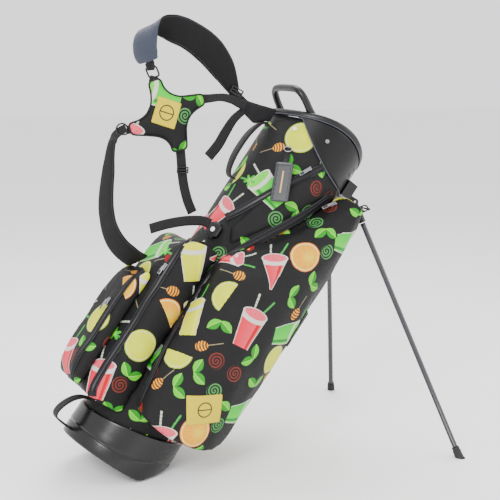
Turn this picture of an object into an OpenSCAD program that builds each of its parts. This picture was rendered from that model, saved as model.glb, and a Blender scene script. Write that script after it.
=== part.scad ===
// Golf stand bag on its deployed legs. Millimetres, +Z up, ground at Z = 0.
// X runs from the strap side towards the legs, Y across the bag.
// Everything that belongs to the bag is drawn in the bag's own frame (z along
// the bag, x towards the legs) and leaned over as one by in_bag().

/* [Stance] */
// Lean of the bag from upright when it stands on its legs, degrees
lean = 36.7; // [25:0.1:45]
// X of the foot hinge, from the middle of the sole
hinge_x = -38; // [-60:1:0]
// Height of the foot hinge axis above the ground
hinge_z = 10; // [8:0.5:20]

/* [Body] */
// Outer radius of the fabric covered core tube
core_r = 110.5; // [90:0.5:130]
// Wall of the core tube
core_t = 3; // [1.5:0.5:6]
// Height of the tube's lower edge inside the boot
core_bottom = 68; // [60:1:90]
// Height of the rim on the strap side
rim_z = 832; // [700:1:900]
// Radius of the saddle that shapes the rim
saddle_r = 224; // [180:1:400]

/* [Collar] */
// Thickness of the moulded collar outside the tube
collar_t = 3.6; // [2:0.1:6]
// Radius of the curved lower edge of the collar
collar_edge_r = 203; // [160:1:260]
// X of the centre of that curve
collar_edge_x = 71; // [40:1:100]
// Height of the centre of that curve
collar_edge_z = 955; // [900:1:1000]

/* [Boot and foot] */
// Outer radius of the boot
boot_r = 117; // [100:0.5:130]
// Wall of the boot
boot_wall = 6.2; // [4:0.1:10]
// Height of the boot's upper edge on the bag axis
boot_mid_z = 94; // [70:1:120]
// Slope of the boot's upper edge, degrees
boot_slant = 10.6; // [0:0.1:20]
// Distance of the foot hinge from the bag axis
foot_hinge_x = 30; // [10:1:60]
// Height of the foot hinge above the boot's sole
foot_hinge_z = 10; // [8:0.5:20]
// Outer radius of the foot's skirt, measured from the bag axis
foot_r = 107.5; // [90:0.5:112]
// Angle of the foot's skirt
skirt_angle = 39; // [30:1:60]
// Radius from foot hinge to the actuator eye
eye_r = 44; // [30:1:60]

/* [Legs] */
// Distance of the leg pivot from the bag axis plane
pivot_x = 139; // [125:1:160]
// Half distance between the leg pivots
pivot_y = 57; // [40:1:75]
// Height of the leg pivots along the bag
pivot_z = 759; // [700:1:800]
// Swing of each leg between folded and standing, degrees
swing = 54.8; // [30:0.1:70]
// Angle of the swing plane away from the bag's middle plane, degrees
splay = 26.5; // [10:0.5:40]
// Leg length from pivot to the ground
leg_l = 606.5; // [500:0.5:800]
// Radius of the leg tube
leg_r = 5.75; // [4:0.25:10]
// Distance of the actuator hole from the leg pivot
hole_b = 27; // [20:1:50]
// Angle of the actuator hole ahead of the leg, degrees
hole_a = 40; // [0:1:60]
// Distance of the actuator rod from the bag axis
rod_x = 122; // [120:0.5:130]

/* [Pockets] */
// Far reach of the side pockets across the bag
side_reach = 184; // [150:1:220]
// Lower edge of the side pockets
side_bottom = 118; // [110:1:160]
// Upper end of the side pockets
side_top = 748; // [650:1:760]
// Angle of the diagonal zip from the bag axis, degrees
zip_angle = 31.7; // [20:0.1:45]
// Slope of the pocket's face above the diagonal zip, degrees
slope = 48; // [35:1:60]
// Reach of the upper ball pocket from the bag axis
ball_up_reach = 170; // [140:1:200]
// Upper end of the upper ball pocket
ball_up_top = 488; // [400:1:560]
// Reach of the lower ball pocket from the bag axis
ball_low_reach = 208; // [180:1:240]
// Upper end of the lower ball pocket
ball_low_top = 375; // [300:1:420]

/* [Trim] */
// Angle round the bag of the side-release buckle, from the leg side, degrees
buckle_at = -157; // [-175:1:-140]
// Angle round the bag where the tag hangs, from the leg side, degrees
tag_at = -136; // [-160:1:-100]
// Tilt of the tag from the bag axis, degrees
tag_tilt = 24; // [10:1:30]

/* [Hidden] */
$fn = 96;
bore_play = 0.05;
pin_r = 2.5;
foot_pin_r = 3;
rod_r = 1.8;
boot_in_r = boot_r - boot_wall;
collar_r = core_r + collar_t;
saddle_z = rim_z + saddle_r;
foot_reach = foot_r - foot_hinge_x;
eye_x = foot_hinge_x + eye_r * cos(lean);
eye_z = foot_hinge_z + eye_r * sin(lean);
hole_x = pivot_x + hole_b * sin(hole_a + swing) * cos(splay);
hole_y = pivot_y + hole_b * sin(hole_a + swing) * sin(splay);
hole_z = pivot_z - hole_b * cos(hole_a + swing);
black = [0.09, 0.09, 0.10];
dark = [0.16, 0.16, 0.18];
print_c = [0.13, 0.12, 0.16];
steel = [0.75, 0.75, 0.77];
yellow = [0.95, 0.85, 0.30];

// ---------- frames ----------
module in_bag() {
    translate([hinge_x, 0, hinge_z])
        rotate([0, lean, 0])
            translate([-foot_hinge_x, 0, -foot_hinge_z])
                children();
}

// the foot is drawn level, its hinge axis on Y
module at_foot() {
    translate([hinge_x, 0, hinge_z]) children();
}

// side is -1 for the near leg and +1 for the far leg; the leg hangs along -z
module at_leg(side) {
    in_bag()
        translate([pivot_x, side * pivot_y, pivot_z])
            rotate(a = swing, v = [side * sin(splay), -cos(splay), 0])
                rotate([0, 0, side * splay])
                    children();
}

// the pivot frame of a leg, x outwards in the swing plane, y along the pin
module at_pivot(side) {
    in_bag()
        translate([pivot_x, side * pivot_y, pivot_z])
            rotate([0, 0, side * splay])
                children();
}

// ---------- helpers ----------
// flat outline in x and z, drawn from y0 over a thickness
module slab(outline, y0, thick) {
    translate([0, y0 + thick, 0])
        rotate([90, 0, 0])
            linear_extrude(height = thick)
                polygon(outline);
}

module bar(p, q, r) {
    v = q - p;
    translate(p)
        rotate([0, acos(v[2] / norm(v)), atan2(v[1], v[0])])
            cylinder(h = norm(v), r = r);
}

// everything above the rim
module above_rim(drop) {
    translate([0, 0, saddle_z - drop])
        rotate([0, 90, 0])
            cylinder(h = 400, r = saddle_r, center = true);
}

// the region under the collar's curved lower edge is left out by this cylinder
module collar_reach(grow) {
    translate([collar_edge_x, 0, collar_edge_z])
        rotate([90, 0, 0])
            cylinder(h = 300, r = collar_edge_r + grow, center = true);
}

// ---------- core, collar and mouth ----------
module core_tube() {
    color(print_c)
    in_bag()
    difference() {
        translate([0, 0, core_bottom]) cylinder(h = 860 - core_bottom, r = core_r);
        translate([0, 0, core_bottom - 1]) cylinder(h = 800, r = core_r - core_t);
        above_rim(14);
        translate([90, -11, core_bottom - 1]) cube([30, 22, 20]);
    }
}

module collar() {
    color(black)
    in_bag()
    difference() {
        intersection() {
            translate([0, 0, 700]) cylinder(h = 200, r = collar_r);
            collar_reach(0);
        }
        translate([0, 0, 690]) cylinder(h = 220, r = core_r + 0.1);
        above_rim(14);
    }
}

module rim_lip() {
    color(black)
    in_bag()
    difference() {
        translate([0, 0, 800]) cylinder(h = 70, r = collar_r + 1);
        translate([0, 0, 790]) cylinder(h = 90, r = core_r - core_t - 2);
        above_rim(0);
        difference() {
            translate([0, 0, 700]) cylinder(h = 180, r = 150);
            above_rim(13.9);
        }
    }
}

module top_handle() {
    color(dark)
    in_bag()
    difference() {
        translate([-80, 0, 851])
            rotate([0, -62, 0])
                difference() {
                    union() {
                        translate([-8, -74, -16]) cube([16, 148, 56]);
                        translate([0, -54, 40])
                            rotate([0, 90, 0]) cylinder(h = 16, r = 20, center = true);
                        translate([0, 54, 40])
                            rotate([0, 90, 0]) cylinder(h = 16, r = 20, center = true);
                        translate([-8, -54, 40]) cube([16, 108, 20]);
                    }
                    translate([-10, -60, -17]) cube([20, 120, 61]);
                }
        // stands on the rim
        difference() {
            cylinder(h = 900, r = 200);
            above_rim(-0.3);
        }
    }
}

module club_divider() {
    color(black)
    in_bag()
    difference() {
        union() {
            difference() {
                translate([0, 0, 770]) cylinder(h = 90, r = core_r - core_t - 2.1);
                translate([0, 0, 769]) cylinder(h = 92, r = core_r - core_t - 5.1);
            }
            intersection() {
                translate([0, 0, 770]) cylinder(h = 90, r = core_r - core_t - 4);
                union() {
                    translate([-110, -3, 770]) cube([220, 6, 90]);
                    translate([-3, -110, 770]) cube([6, 220, 90]);
                }
            }
        }
        above_rim(20);
    }
}

module club_floor() {
    color(black)
    in_bag()
    translate([0, 0, 97]) cylinder(h = 4, r = core_r - core_t - 0.1);
}

// ---------- boot and articulated foot ----------
module base_boot() {
    color(dark)
    in_bag()
    difference() {
        union() {
            difference() {
                cylinder(h = 130, r = boot_r);
                translate([0, 0, 6]) cylinder(h = 130, r = boot_in_r);
                intersection() {
                    translate([0, 0, -1]) cylinder(h = 8, r = boot_in_r);
                    translate([foot_hinge_x - 8, -150, -1]) cube([200, 300, 8]);
                }
                translate([0, 0, boot_mid_z])
                    rotate([0, -boot_slant, 0])
                        translate([-200, -200, 0]) cube([400, 400, 100]);
                translate([foot_hinge_x, 0, foot_hinge_z])
                    rotate([0, -lean, 0])
                        translate([-200, -200, -hinge_z - 60 + 2]) cube([400, 400, 60]);
                translate([90, -10, 20]) cube([40, 20, 70]);
            }
            for (s = [-1, 1]) {
                translate([foot_hinge_x, s * 66 - 14, foot_hinge_z])
                    rotate([-90, 0, 0]) cylinder(h = 28, r = 7);
                translate([foot_hinge_x - 12, s * 66 - 14, 3]) cube([12, 28, 6]);
            }
        }
        translate([foot_hinge_x, -90, foot_hinge_z])
            rotate([-90, 0, 0]) cylinder(h = 180, r = foot_pin_r);
    }
}

module boot_handle() {
    color(black)
    in_bag()
    difference() {
        slab([[-112, 92], [-135, 84], [-152, 68], [-164, 42], [-165, 24], [-150, 16], [-112, 12],
            [-112, 17], [-147, 21], [-159, 28], [-158, 42], [-147, 65], [-132, 79], [-112, 86]],
            -16, 32);
        cylinder(h = 200, r = boot_r + 0.1);
    }
}

module foot_plate() {
    color(black)
    at_foot()
    difference() {
        union() {
            // level plate
            translate([0, 0, -6])
                intersection() {
                    translate([-foot_hinge_x, 0, 0]) cylinder(h = 4, r = foot_r);
                    translate([9, -150, 0]) cube([200, 300, 4]);
                }
            // skirt swept about the hinge axis
            rotate([90, 0, 0])
                rotate_extrude(angle = skirt_angle)
                    intersection() {
                        difference() {
                            translate([-foot_hinge_x, 0]) circle(r = foot_r);
                            translate([-foot_hinge_x, 0]) circle(r = foot_r - 3.5);
                        }
                        translate([9, -150]) square([200, 300]);
                    }
            // upright rim under the skirt
            translate([0, 0, -6])
                intersection() {
                    difference() {
                        translate([-foot_hinge_x, 0, 0]) cylinder(h = 9, r = foot_r - 0.8);
                        translate([-foot_hinge_x, 0, -1]) cylinder(h = 11, r = foot_r - 4.5);
                    }
                    translate([10, -150, 0]) cube([200, 300, 9]);
                }
            // hinge knuckle
            translate([0, -45, 0]) rotate([-90, 0, 0]) cylinder(h = 90, r = 6);
            translate([0, -45, -6]) cube([12, 90, 6]);
            // ears for the actuator
            for (s = [-1, 1])
                translate([eye_r, s * 7 - 2, 0]) {
                    rotate([-90, 0, 0]) cylinder(h = 4, r = 6);
                    translate([-6, 0, -6]) cube([12, 4, 6]);
                }
        }
        translate([0, -50, 0]) rotate([-90, 0, 0]) cylinder(h = 100, r = foot_pin_r + bore_play);
        translate([eye_r, -15, 0]) rotate([-90, 0, 0]) cylinder(h = 30, r = pin_r);
        // room for the rod as the foot folds up
        translate([eye_r - 6, -4.5, -6.1]) cube([foot_reach, 9, 60]);
    }
}

module foot_sole() {
    color(dark)
    at_foot()
    difference() {
        translate([0, 0, -hinge_z])
            intersection() {
                translate([-foot_hinge_x, 0, 0]) cylinder(h = hinge_z - 6.1, r = foot_r);
                translate([4, -150, 0]) cube([200, 300, hinge_z]);
            }
        for (i = [0 : 3])
            translate([12 + 17 * i, -150, -hinge_z - 1]) cube([4, 300, 2.5]);
    }
}

module foot_hinge_pin() {
    color(steel)
    at_foot()
    translate([0, -80, 0]) rotate([-90, 0, 0]) cylinder(h = 160, r = foot_pin_r);
}

module foot_eye_pin() {
    color(steel)
    at_foot()
    translate([eye_r, -11, 0]) rotate([-90, 0, 0]) cylinder(h = 22, r = pin_r);
}

// ---------- actuator ----------
module actuator_rod() {
    color(black)
    in_bag() {
        difference() {
            union() {
                translate([eye_x, -4, eye_z]) rotate([-90, 0, 0]) cylinder(h = 8, r = 5);
                bar([eye_x, 0, eye_z], [rod_x, 0, 82], rod_r);
                translate([rod_x, 0, 82]) sphere(r = rod_r + 0.3);
                bar([rod_x, 0, 82], [rod_x, 0, 640], rod_r);
                translate([rod_x, 0, 640]) sphere(r = rod_r + 0.3);
                for (s = [-1, 1]) {
                    bar([rod_x, 0, 640], [128, s * 36, 700], rod_r);
                    translate([128, s * 36, 700]) sphere(r = rod_r + 0.3);
                    bar([128, s * 36, 700], [hole_x, s * 42, hole_z], rod_r);
                    translate([hole_x, s * 42, hole_z]) sphere(r = rod_r + 0.3);
                    bar([hole_x, s * 42, hole_z], [hole_x, s * (hole_y + 16), hole_z], rod_r);
                    translate([hole_x, s * (hole_y + 17), hole_z]) sphere(r = 3.4);
                }
            }
            translate([eye_x, -10, eye_z])
                rotate([-90, 0, 0]) cylinder(h = 20, r = pin_r + bore_play);
        }
    }
}

// ---------- legs ----------
module sleeve(side) {
    at_leg(side)
    difference() {
        union() {
            translate([0, -7, 0]) rotate([-90, 0, 0]) cylinder(h = 14, r = 8);
            translate([0, 0, -30]) cylinder(h = 30, r = 7.5);
            translate([0, 0, -48]) cylinder(h = 18, r = 8.4);
            // lug for the actuator
            translate([hole_b * sin(hole_a), -2, -hole_b * cos(hole_a)])
                rotate([-90, 0, 0]) cylinder(h = 4, r = 8);
            translate([0, -2, -hole_b * cos(hole_a) - 8]) cube([hole_b * sin(hole_a), 4, 16]);
        }
        translate([0, -8, 0]) rotate([-90, 0, 0]) cylinder(h = 16, r = pin_r + bore_play);
        translate([0, 0, -49]) cylinder(h = 29, r = leg_r);
        translate([hole_b * sin(hole_a), -4, -hole_b * cos(hole_a)])
            rotate([-90, 0, 0]) cylinder(h = 8, r = 5.2);
    }
}

module leg_tube(side) {
    at_leg(side)
    difference() {
        translate([0, 0, -(leg_l - 14)]) cylinder(h = leg_l - 34, r = leg_r);
        translate([0, 0, -(leg_l - 13)]) cylinder(h = leg_l - 36, r = leg_r - 1);
    }
}

module leg_foot(side) {
    difference() {
        at_leg(side) {
            translate([0, 0, -(leg_l + 8)]) cylinder(h = 33, r = 9.5);
            translate([0, 0, -(leg_l - 25)]) cylinder(h = 5, r = 8.2);
        }
        at_leg(side) translate([0, 0, -(leg_l - 14)]) cylinder(h = 40, r = leg_r);
        translate([400, -500, -40]) cube([500, 1000, 40]);
    }
}

module leg_near_sleeve() { color(black) sleeve(-1); }
module leg_far_sleeve() { color(black) sleeve(1); }
module leg_near_tube() { color(dark) leg_tube(-1); }
module leg_far_tube() { color(dark) leg_tube(1); }
module leg_near_foot() { color(black) leg_foot(-1); }
module leg_far_foot() { color(black) leg_foot(1); }

module stand_bracket() {
    color(black)
    difference() {
        union() {
            for (s = [-1, 1])
                at_pivot(s)
                    for (k = [-1, 1])
                        translate([0, k * 10 - 2, 0]) {
                            rotate([-90, 0, 0]) cylinder(h = 4, r = 8);
                            translate([-42, 0, -7.5]) cube([42, 4, 15]);
                        }
            in_bag()
                for (s = [-1, 1])
                    translate([88, s * 57 - 22, pivot_z - 9]) cube([25, 44, 37]);
        }
        in_bag() cylinder(h = 900, r = collar_r + 0.1);
        for (s = [-1, 1])
            at_pivot(s)
                translate([0, -20, 0]) rotate([-90, 0, 0]) cylinder(h = 40, r = pin_r);
    }
}

module bracket_screws() {
    color(steel)
    in_bag()
    for (s = [-1, 1])
        for (k = [0, 1])
            translate([113.1, s * (50 + 16 * k), pivot_z + 20])
                rotate([0, 90, 0]) cylinder(h = 2, r = 3.6);
}

module leg_hinge_pins() {
    color(steel)
    for (s = [-1, 1])
        at_pivot(s)
            translate([0, -14, 0]) rotate([-90, 0, 0]) cylinder(h = 28, r = pin_r);
}

// ---------- pockets ----------
// plan of a side pocket, grown outwards by g
function side_plan(g) = [[70, -69], [146 + g, -69], [159 + g, -96], [141 + g, -126 - g],
    [110 + g, -158 - g], [58, -side_reach - g], [-2, -side_reach - g], [-50 - g, -160 - g],
    [-88 - g, -118 - g], [-70, -60]];

// the pocket seen from the side; the front edge leans with the diagonal zip
function side_view(g) = [[-64 - g, side_bottom + 12], [-74 - g, 190], [-90 - g, 310],
    [-92 - g, 430], [-82 - g, 482], [-58 - g, 526], [14 - g, 642], [66 - g, 727],
    [84, side_top], [112, side_top - 5], [136, side_top - 26], [157, side_top - 66],
    [170, side_top - 126], [172, 230], [160, 176], [126, 138], [80, side_bottom + 4],
    [0, side_bottom - 6], [-50, side_bottom]];

module side_pocket_solid(side, g) {
    mirror([0, side > 0 ? 1 : 0, 0])
        difference() {
            intersection() {
                translate([0, 0, 100]) linear_extrude(height = 680) polygon(side_plan(g));
                slab(side_view(0), -200, 160);
            }
            cylinder(h = 900, r = core_r + 0.1);
            in_collar_clear();
            on_slope() translate([-300, -300, -700]) cube([700, 300 - g, 1400]);
        }
}

// face of the near side pocket that slopes up from the diagonal zip:
// x climbs the slope, y points into the pocket, z runs up along the zip
module on_slope() {
    translate([-58, -111, 526])
        rotate([0, zip_angle, 0])
            rotate([0, 0, -slope]) children();
}

// narrow front face of the near side pocket, beside the ball pocket
module on_front() {
    translate([-88, -118, 0]) rotate([0, 0, -47.9]) children();
}

// keeps the soft pieces out of the collar and the boot
module in_collar_clear() {
    intersection() {
        translate([0, 0, 700]) cylinder(h = 200, r = collar_r + 0.2);
        collar_reach(0.4);
    }
    intersection() {
        cylinder(h = 130, r = boot_r + 0.2);
        translate([0, 0, boot_mid_z + 0.2])
            rotate([0, -boot_slant, 0]) translate([-200, -200, -200]) cube([400, 400, 200]);
    }
}

module side_pocket_near() { color(print_c) in_bag() side_pocket_solid(-1, 0); }
module side_pocket_far() { color(print_c) in_bag() side_pocket_solid(1, 0); }

function ball_up_view() = [[-60, 96], [-ball_up_reach + 14, 96], [-ball_up_reach, 130],
    [-ball_up_reach, 420], [-ball_up_reach + 8, 455], [-140, ball_up_top - 8],
    [-110, ball_up_top], [-60, ball_up_top]];

module ball_up_solid(g) {
    difference() {
        intersection() {
            slab(ball_up_view(), -140, 280);
            translate([0, 0, 80])
                linear_extrude(height = 430)
                    polygon([[-60, -86 - g], [-120 - g, -86 - g], [-152 - g, -78 - g],
                        [-ball_up_reach - g, -52], [-ball_up_reach - g, 52],
                        [-152 - g, 78 + g], [-120 - g, 86 + g], [-60, 86 + g]]);
        }
        cylinder(h = 900, r = core_r + 0.1);
        in_collar_clear();
        for (s = [-1, 1]) side_pocket_solid(s, 3);
    }
}

module ball_pocket_upper() {
    color(print_c)
    in_bag()
    ball_up_solid(0);
}

module ball_pocket_lower() {
    color(print_c)
    in_bag()
    intersection() {
        slab([[-ball_up_reach - 0.2, 104], [-ball_low_reach + 26, 102], [-ball_low_reach + 6, 126],
            [-ball_low_reach, 160], [-ball_low_reach, 300], [-ball_low_reach + 8, 345],
            [-ball_low_reach + 26, ball_low_top], [-ball_up_reach - 0.2, ball_low_top]],
            -140, 280);
        translate([0, 0, 80])
            linear_extrude(height = 430)
                polygon([[-ball_up_reach, -58], [-ball_low_reach + 18, -56],
                    [-ball_low_reach, -38], [-ball_low_reach, 38],
                    [-ball_low_reach + 18, 56], [-ball_up_reach, 58]]);
    }
}

// raised flat pocket between the two diagonal zips
module slip_pocket() {
    color(print_c)
    in_bag()
    difference() {
        intersection() {
            translate([0, 0, 500]) cylinder(h = 300, r = core_r + 6);
            slab([[-14, 738], [38, 712], [14, 668], [-60, 543], [-78, 512], [-90, 548],
                [-66, 646]], -130, 128);
        }
        cylinder(h = 900, r = core_r + 0.1);
        in_collar_clear();
        side_pocket_solid(-1, 3);
    }
}

// ---------- zips ----------
module zip_side_solid(side) {
    mirror([0, side > 0 ? 1 : 0, 0]) {
        on_slope() translate([4, -2.4, 20]) cube([12, 2.3, 214]);
        on_front() translate([10, -2.4, 250]) cube([12, 2.3, 196]);
    }
}

module zip_side_near() { color(black) in_bag() zip_side_solid(-1); }
module zip_side_far() { color(black) in_bag() zip_side_solid(1); }

module zip_slip() {
    color(black)
    in_bag()
    difference() {
        intersection() {
            translate([0, 0, 500]) cylinder(h = 300, r = core_r + 2.4);
            slab([[-14, 764], [-20, 748], [-110, 575], [-122, 590], [-30, 762]], -130, 128);
        }
        cylinder(h = 900, r = core_r + 0.1);
        in_collar_clear();
    }
}

// corner face of the upper ball pocket: x along the face, y outwards
module on_corner() {
    translate([-152, -78, 0]) rotate([0, 0, 124.7]) children();
}

module zip_ball_upper() {
    color(black)
    in_bag()
    on_corner() translate([10, 0.1, 190]) cube([12, 2.3, 240]);
}

module zip_ball_lower() {
    color(black)
    in_bag()
    slab([[-ball_low_reach - 2.4, 166], [-ball_low_reach - 2.4, 300],
        [-ball_low_reach - 0.1, 300], [-ball_low_reach - 0.1, 166]], -37, 12);
}

// ---------- trim on the pockets ----------
module strap_keeper() {
    color(black)
    in_bag()
    translate([150, -111, 406])
        rotate([0, 0, -31]) translate([0.3, -12, 0]) cube([9, 24, 84]);
}

module badge_patch() {
    color(yellow)
    in_bag()
    translate([28, -side_reach - 2, 200])
        rotate([0, -lean + 4, 0])
            translate([-38, 0, -30]) cube([76, 1.8, 60]);
}

// ---------- carrying harness ----------
module grab_handle() {
    color(black)
    in_bag()
    slab([[-112, 786], [-124, 792], [-136, 776], [-146, 740], [-146, 690], [-138, 655],
        [-126, 642], [-112, 645], [-112, 650], [-124, 649], [-132, 660], [-138, 690],
        [-138, 738], [-130, 770], [-121, 783], [-112, 780]], -13, 26);
}

module shoulder_pad_upper() {
    color(dark) {
        slab([[238, 796], [228, 830], [212, 868], [189, 903], [164, 924], [128, 942], [89, 950],
            [56, 943], [30, 936], [14, 920], [14, 890], [50, 900], [74, 898], [110, 882], [145, 858], [179, 823], [214, 785]],
            -14, 12);
        translate([19, -26, 890])
            rotate([0, 0, -49])
                translate([-28, -6, -38]) cube([56, 12, 80]);
    }
}

module shoulder_pad_lower() {
    color(dark)
    slab([[-37, 706], [-50, 676], [-57, 616], [-63, 562], [-58, 522], [-46, 492], [-26, 464],
        [-8, 446], [0, 455], [-17, 472], [-37, 500], [-47, 528], [-51, 564], [-45, 616],
        [-38, 676], [-26, 704]], -18, 74);
}

module cross_pad() {
    color(print_c)
    slab([[24, 813], [50, 821], [60, 800], [89, 784], [145, 789], [149, 766], [122, 748],
        [106, 728], [108, 678], [76, 670], [62, 694], [48, 706], [-10, 708], [-20, 731],
        [12, 745], [30, 768]], -34, 10);
}

module cross_patch() {
    color(yellow)
    translate([61, -36, 751])
        rotate([0, 18, 0]) translate([-27, 0, -28]) cube([54, 1.8, 56]);
}

module webbing_upper() {
    color(black)
    slab([[134, 787], [187, 788], [229, 777], [252, 770], [246, 750], [229, 757], [192, 772],
        [138, 766]], -22, 3);
}

module webbing_anchor() {
    color(black)
    difference() {
        slab([[206, 798], [230, 812], [248, 778], [268, 764], [330, 750], [352, 717],
            [303, 727], [267, 717], [240, 752]], -1.5, 3);
        in_bag() cylinder(h = 900, r = collar_r + 1.2);
        in_bag() grab_clear();
    }
}

// room round the grab handle
module grab_clear() {
    translate([-150, -14, 630]) cube([40, 28, 164]);
}

module webbing_lower() {
    color(black)
    difference() {
        slab([[84, 690], [106, 690], [112, 610], [121, 570], [132, 542], [109, 539], [100, 569],
            [90, 611]], -23.5, 3);
        in_bag() cylinder(h = 900, r = core_r + 0.2);
        in_bag() ball_up_solid(0.3);
    }
}

module strap_tail_upper() {
    color(black)
    slab([[250, 756], [216, 736], [196, 714], [177, 690], [154, 661], [175, 650], [201, 689],
        [220, 722], [258, 744]], -8, 3);
}

module strap_tail_lower() {
    color(black)
    slab([[14, 526], [85, 538], [136, 540], [140, 512], [91, 515], [22, 507]], -44, 3);
}

module harness_rings() {
    color(steel) {
        // rectangular ring between upper pad and cross pad
        difference() {
            slab([[19, 843], [45, 848], [55, 824], [28, 818]], -23.5, 3);
            slab([[24, 839], [42, 842.5], [49.5, 827.5], [32, 823]], -24.5, 5);
        }
        // D ring between cross pad and lower pad
        difference() {
            translate([-31, -23.5, 718]) rotate([-90, 0, 0]) cylinder(h = 3, r = 15);
            translate([-31, -24.5, 718]) rotate([-90, 0, 0]) cylinder(h = 5, r = 11.5);
        }
    }
}

module side_release_buckle() {
    color(black)
    in_bag()
    rotate([0, 0, buckle_at])
        translate([core_r + 1.5, -19, 508]) cube([9, 38, 34]);
}

module ladder_adjusters() {
    color(black) {
        translate([214, -27, 776]) rotate([0, 24, 0]) cube([22, 4, 26]);
        translate([86, -29, 624]) rotate([0, 6, 0]) cube([28, 5, 16]);
    }
}

module snap_buttons() {
    color([0.92, 0.92, 0.92]) {
        in_bag()
            rotate([0, 0, buckle_at])
                translate([core_r + 10.6, 0, 525]) rotate([0, 90, 0]) cylinder(h = 1.9, r = 6);
        in_bag()
            rotate([0, 0, -142])
                translate([core_r + 0.1, 0, 800]) rotate([0, 90, 0]) cylinder(h = 2, r = 5);
    }
}

module collar_rivets() {
    color(steel)
    in_bag()
    for (s = [-1, 1]) {
        rotate([0, 0, s * 104])
            translate([collar_r + 0.1, 0, 812]) rotate([0, 90, 0]) cylinder(h = 1.6, r = 4.6);
        rotate([0, 0, s * 42])
            translate([collar_r + 0.1, 0, 812]) rotate([0, 90, 0]) cylinder(h = 1.6, r = 3);
        rotate([0, 0, s * 45])
            translate([collar_r + 0.1, 0, 795]) rotate([0, 90, 0]) cylinder(h = 1.8, r = 5.4);
    }
}

// ---------- tag ----------
module tag_strap() {
    color(black)
    in_bag()
    rotate([0, 0, tag_at])
        translate([core_r + 0.3, 0, 757])
            rotate([tag_tilt, 0, 0]) translate([0, -7, -38]) cube([2, 14, 38]);
}

module hang_tag() {
    color(dark)
    in_bag()
    rotate([0, 0, tag_at])
        translate([core_r + 9.5, 0, 757])
            rotate([tag_tilt, 0, 0]) translate([0, -19, -124]) cube([3, 38, 86]);
}

// ---------- zip sliders ----------
module slider_at(p, turn, tip) {
    translate(p) rotate([0, 0, turn]) rotate([tip, 0, 0]) children();
}

module slider_body() {
    translate([0, -4.5, -8]) cube([5, 9, 16]);
}

module pull_body(length) {
    translate([6, -3.5, -length]) cube([2.2, 7, length]);
}

module slider_side() {
    color(steel)
    in_bag() on_slope() translate([10, -3.2, 220]) rotate([0, 0, -90]) slider_body();
}

module pull_side() {
    color(steel)
    in_bag() on_slope() translate([10, -3.2, 220]) rotate([0, 0, -90]) pull_body(30);
}

module slider_slip() {
    color(steel)
    in_bag() slider_at([-30, -110.6, 738], -105, -28) slider_body();
}

module pull_slip() {
    color(steel)
    in_bag() slider_at([-30, -110.6, 738], -105, -28) pull_body(24);
}

module slider_ball_upper() {
    color(steel)
    in_bag() on_corner() translate([16, 3.2, 400]) rotate([0, 0, 90]) slider_body();
}

module pull_ball_upper() {
    color(steel)
    in_bag() on_corner() translate([16, 3.2, 400]) rotate([0, 0, 90]) pull_body(20);
}

module slider_ball_lower() {
    color(steel)
    in_bag() slider_at([-ball_low_reach - 3, -31, 280], 180, 0) slider_body();
}

module pull_ball_lower() {
    color(steel)
    in_bag() slider_at([-ball_low_reach - 3, -31, 280], 180, 0) pull_body(26);
}

core_tube();
collar();
rim_lip();
top_handle();
club_divider();
club_floor();
base_boot();
boot_handle();
side_pocket_near();
side_pocket_far();
ball_pocket_upper();
ball_pocket_lower();
slip_pocket();
zip_side_near();
zip_side_far();
zip_slip();
zip_ball_upper();
zip_ball_lower();
strap_keeper();
badge_patch();
grab_handle();
shoulder_pad_upper();
shoulder_pad_lower();
cross_pad();
cross_patch();
webbing_upper();
webbing_anchor();
webbing_lower();
strap_tail_upper();
strap_tail_lower();
harness_rings();
side_release_buckle();
ladder_adjusters();
snap_buttons();
collar_rivets();
stand_bracket();
bracket_screws();
leg_hinge_pins();
foot_hinge_pin();
tag_strap();
hang_tag();
leg_near_sleeve();
leg_near_tube();
leg_near_foot();
leg_far_sleeve();
leg_far_tube();
leg_far_foot();
foot_plate();
foot_sole();
foot_eye_pin();
actuator_rod();
slider_side();
pull_side();
slider_slip();
pull_slip();
slider_ball_upper();
pull_ball_upper();
slider_ball_lower();
pull_ball_lower();
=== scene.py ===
import math

import bmesh
import bpy
import numpy as np
from mathutils import Matrix, Vector
from mathutils.bvhtree import BVHTree
from mathutils.geometry import delaunay_2d_cdt


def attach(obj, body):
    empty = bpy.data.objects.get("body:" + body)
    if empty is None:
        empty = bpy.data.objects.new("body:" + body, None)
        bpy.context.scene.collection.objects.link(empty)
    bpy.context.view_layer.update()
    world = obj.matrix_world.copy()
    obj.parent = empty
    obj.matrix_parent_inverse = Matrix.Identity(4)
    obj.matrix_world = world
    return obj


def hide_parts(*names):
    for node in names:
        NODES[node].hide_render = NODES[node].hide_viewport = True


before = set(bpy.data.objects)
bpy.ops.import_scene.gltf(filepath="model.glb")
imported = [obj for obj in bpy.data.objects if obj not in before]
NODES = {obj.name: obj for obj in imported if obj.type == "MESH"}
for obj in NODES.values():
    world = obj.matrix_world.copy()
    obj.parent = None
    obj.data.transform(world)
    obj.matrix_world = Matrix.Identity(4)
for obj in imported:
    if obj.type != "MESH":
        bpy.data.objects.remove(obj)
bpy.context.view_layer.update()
SCENE = bpy.context.scene

# ---------------------------------------------------------------- named sizes
# mm in the bag's own frame: z along the bag, x towards the legs, y away from the near leg
LEAN = math.radians(36.7)
HINGE = (-38.0, 10.0)
FOOT_HINGE = (30.0, 10.0)
CORE_R, CORE_T = 110.5, 3.0
RIM_Z, SADDLE_R = 832.0, 224.0
COLLAR_R = 114.1
EDGE_X, EDGE_Z, EDGE_R = 71.0, 955.0, 203.0
BOOT_R, BOOT_WALL, BOOT_MID = 117.0, 6.2, 94.0
BOOT_SLANT = math.tan(math.radians(10.6))
SIDE_REACH = 184.0
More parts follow.
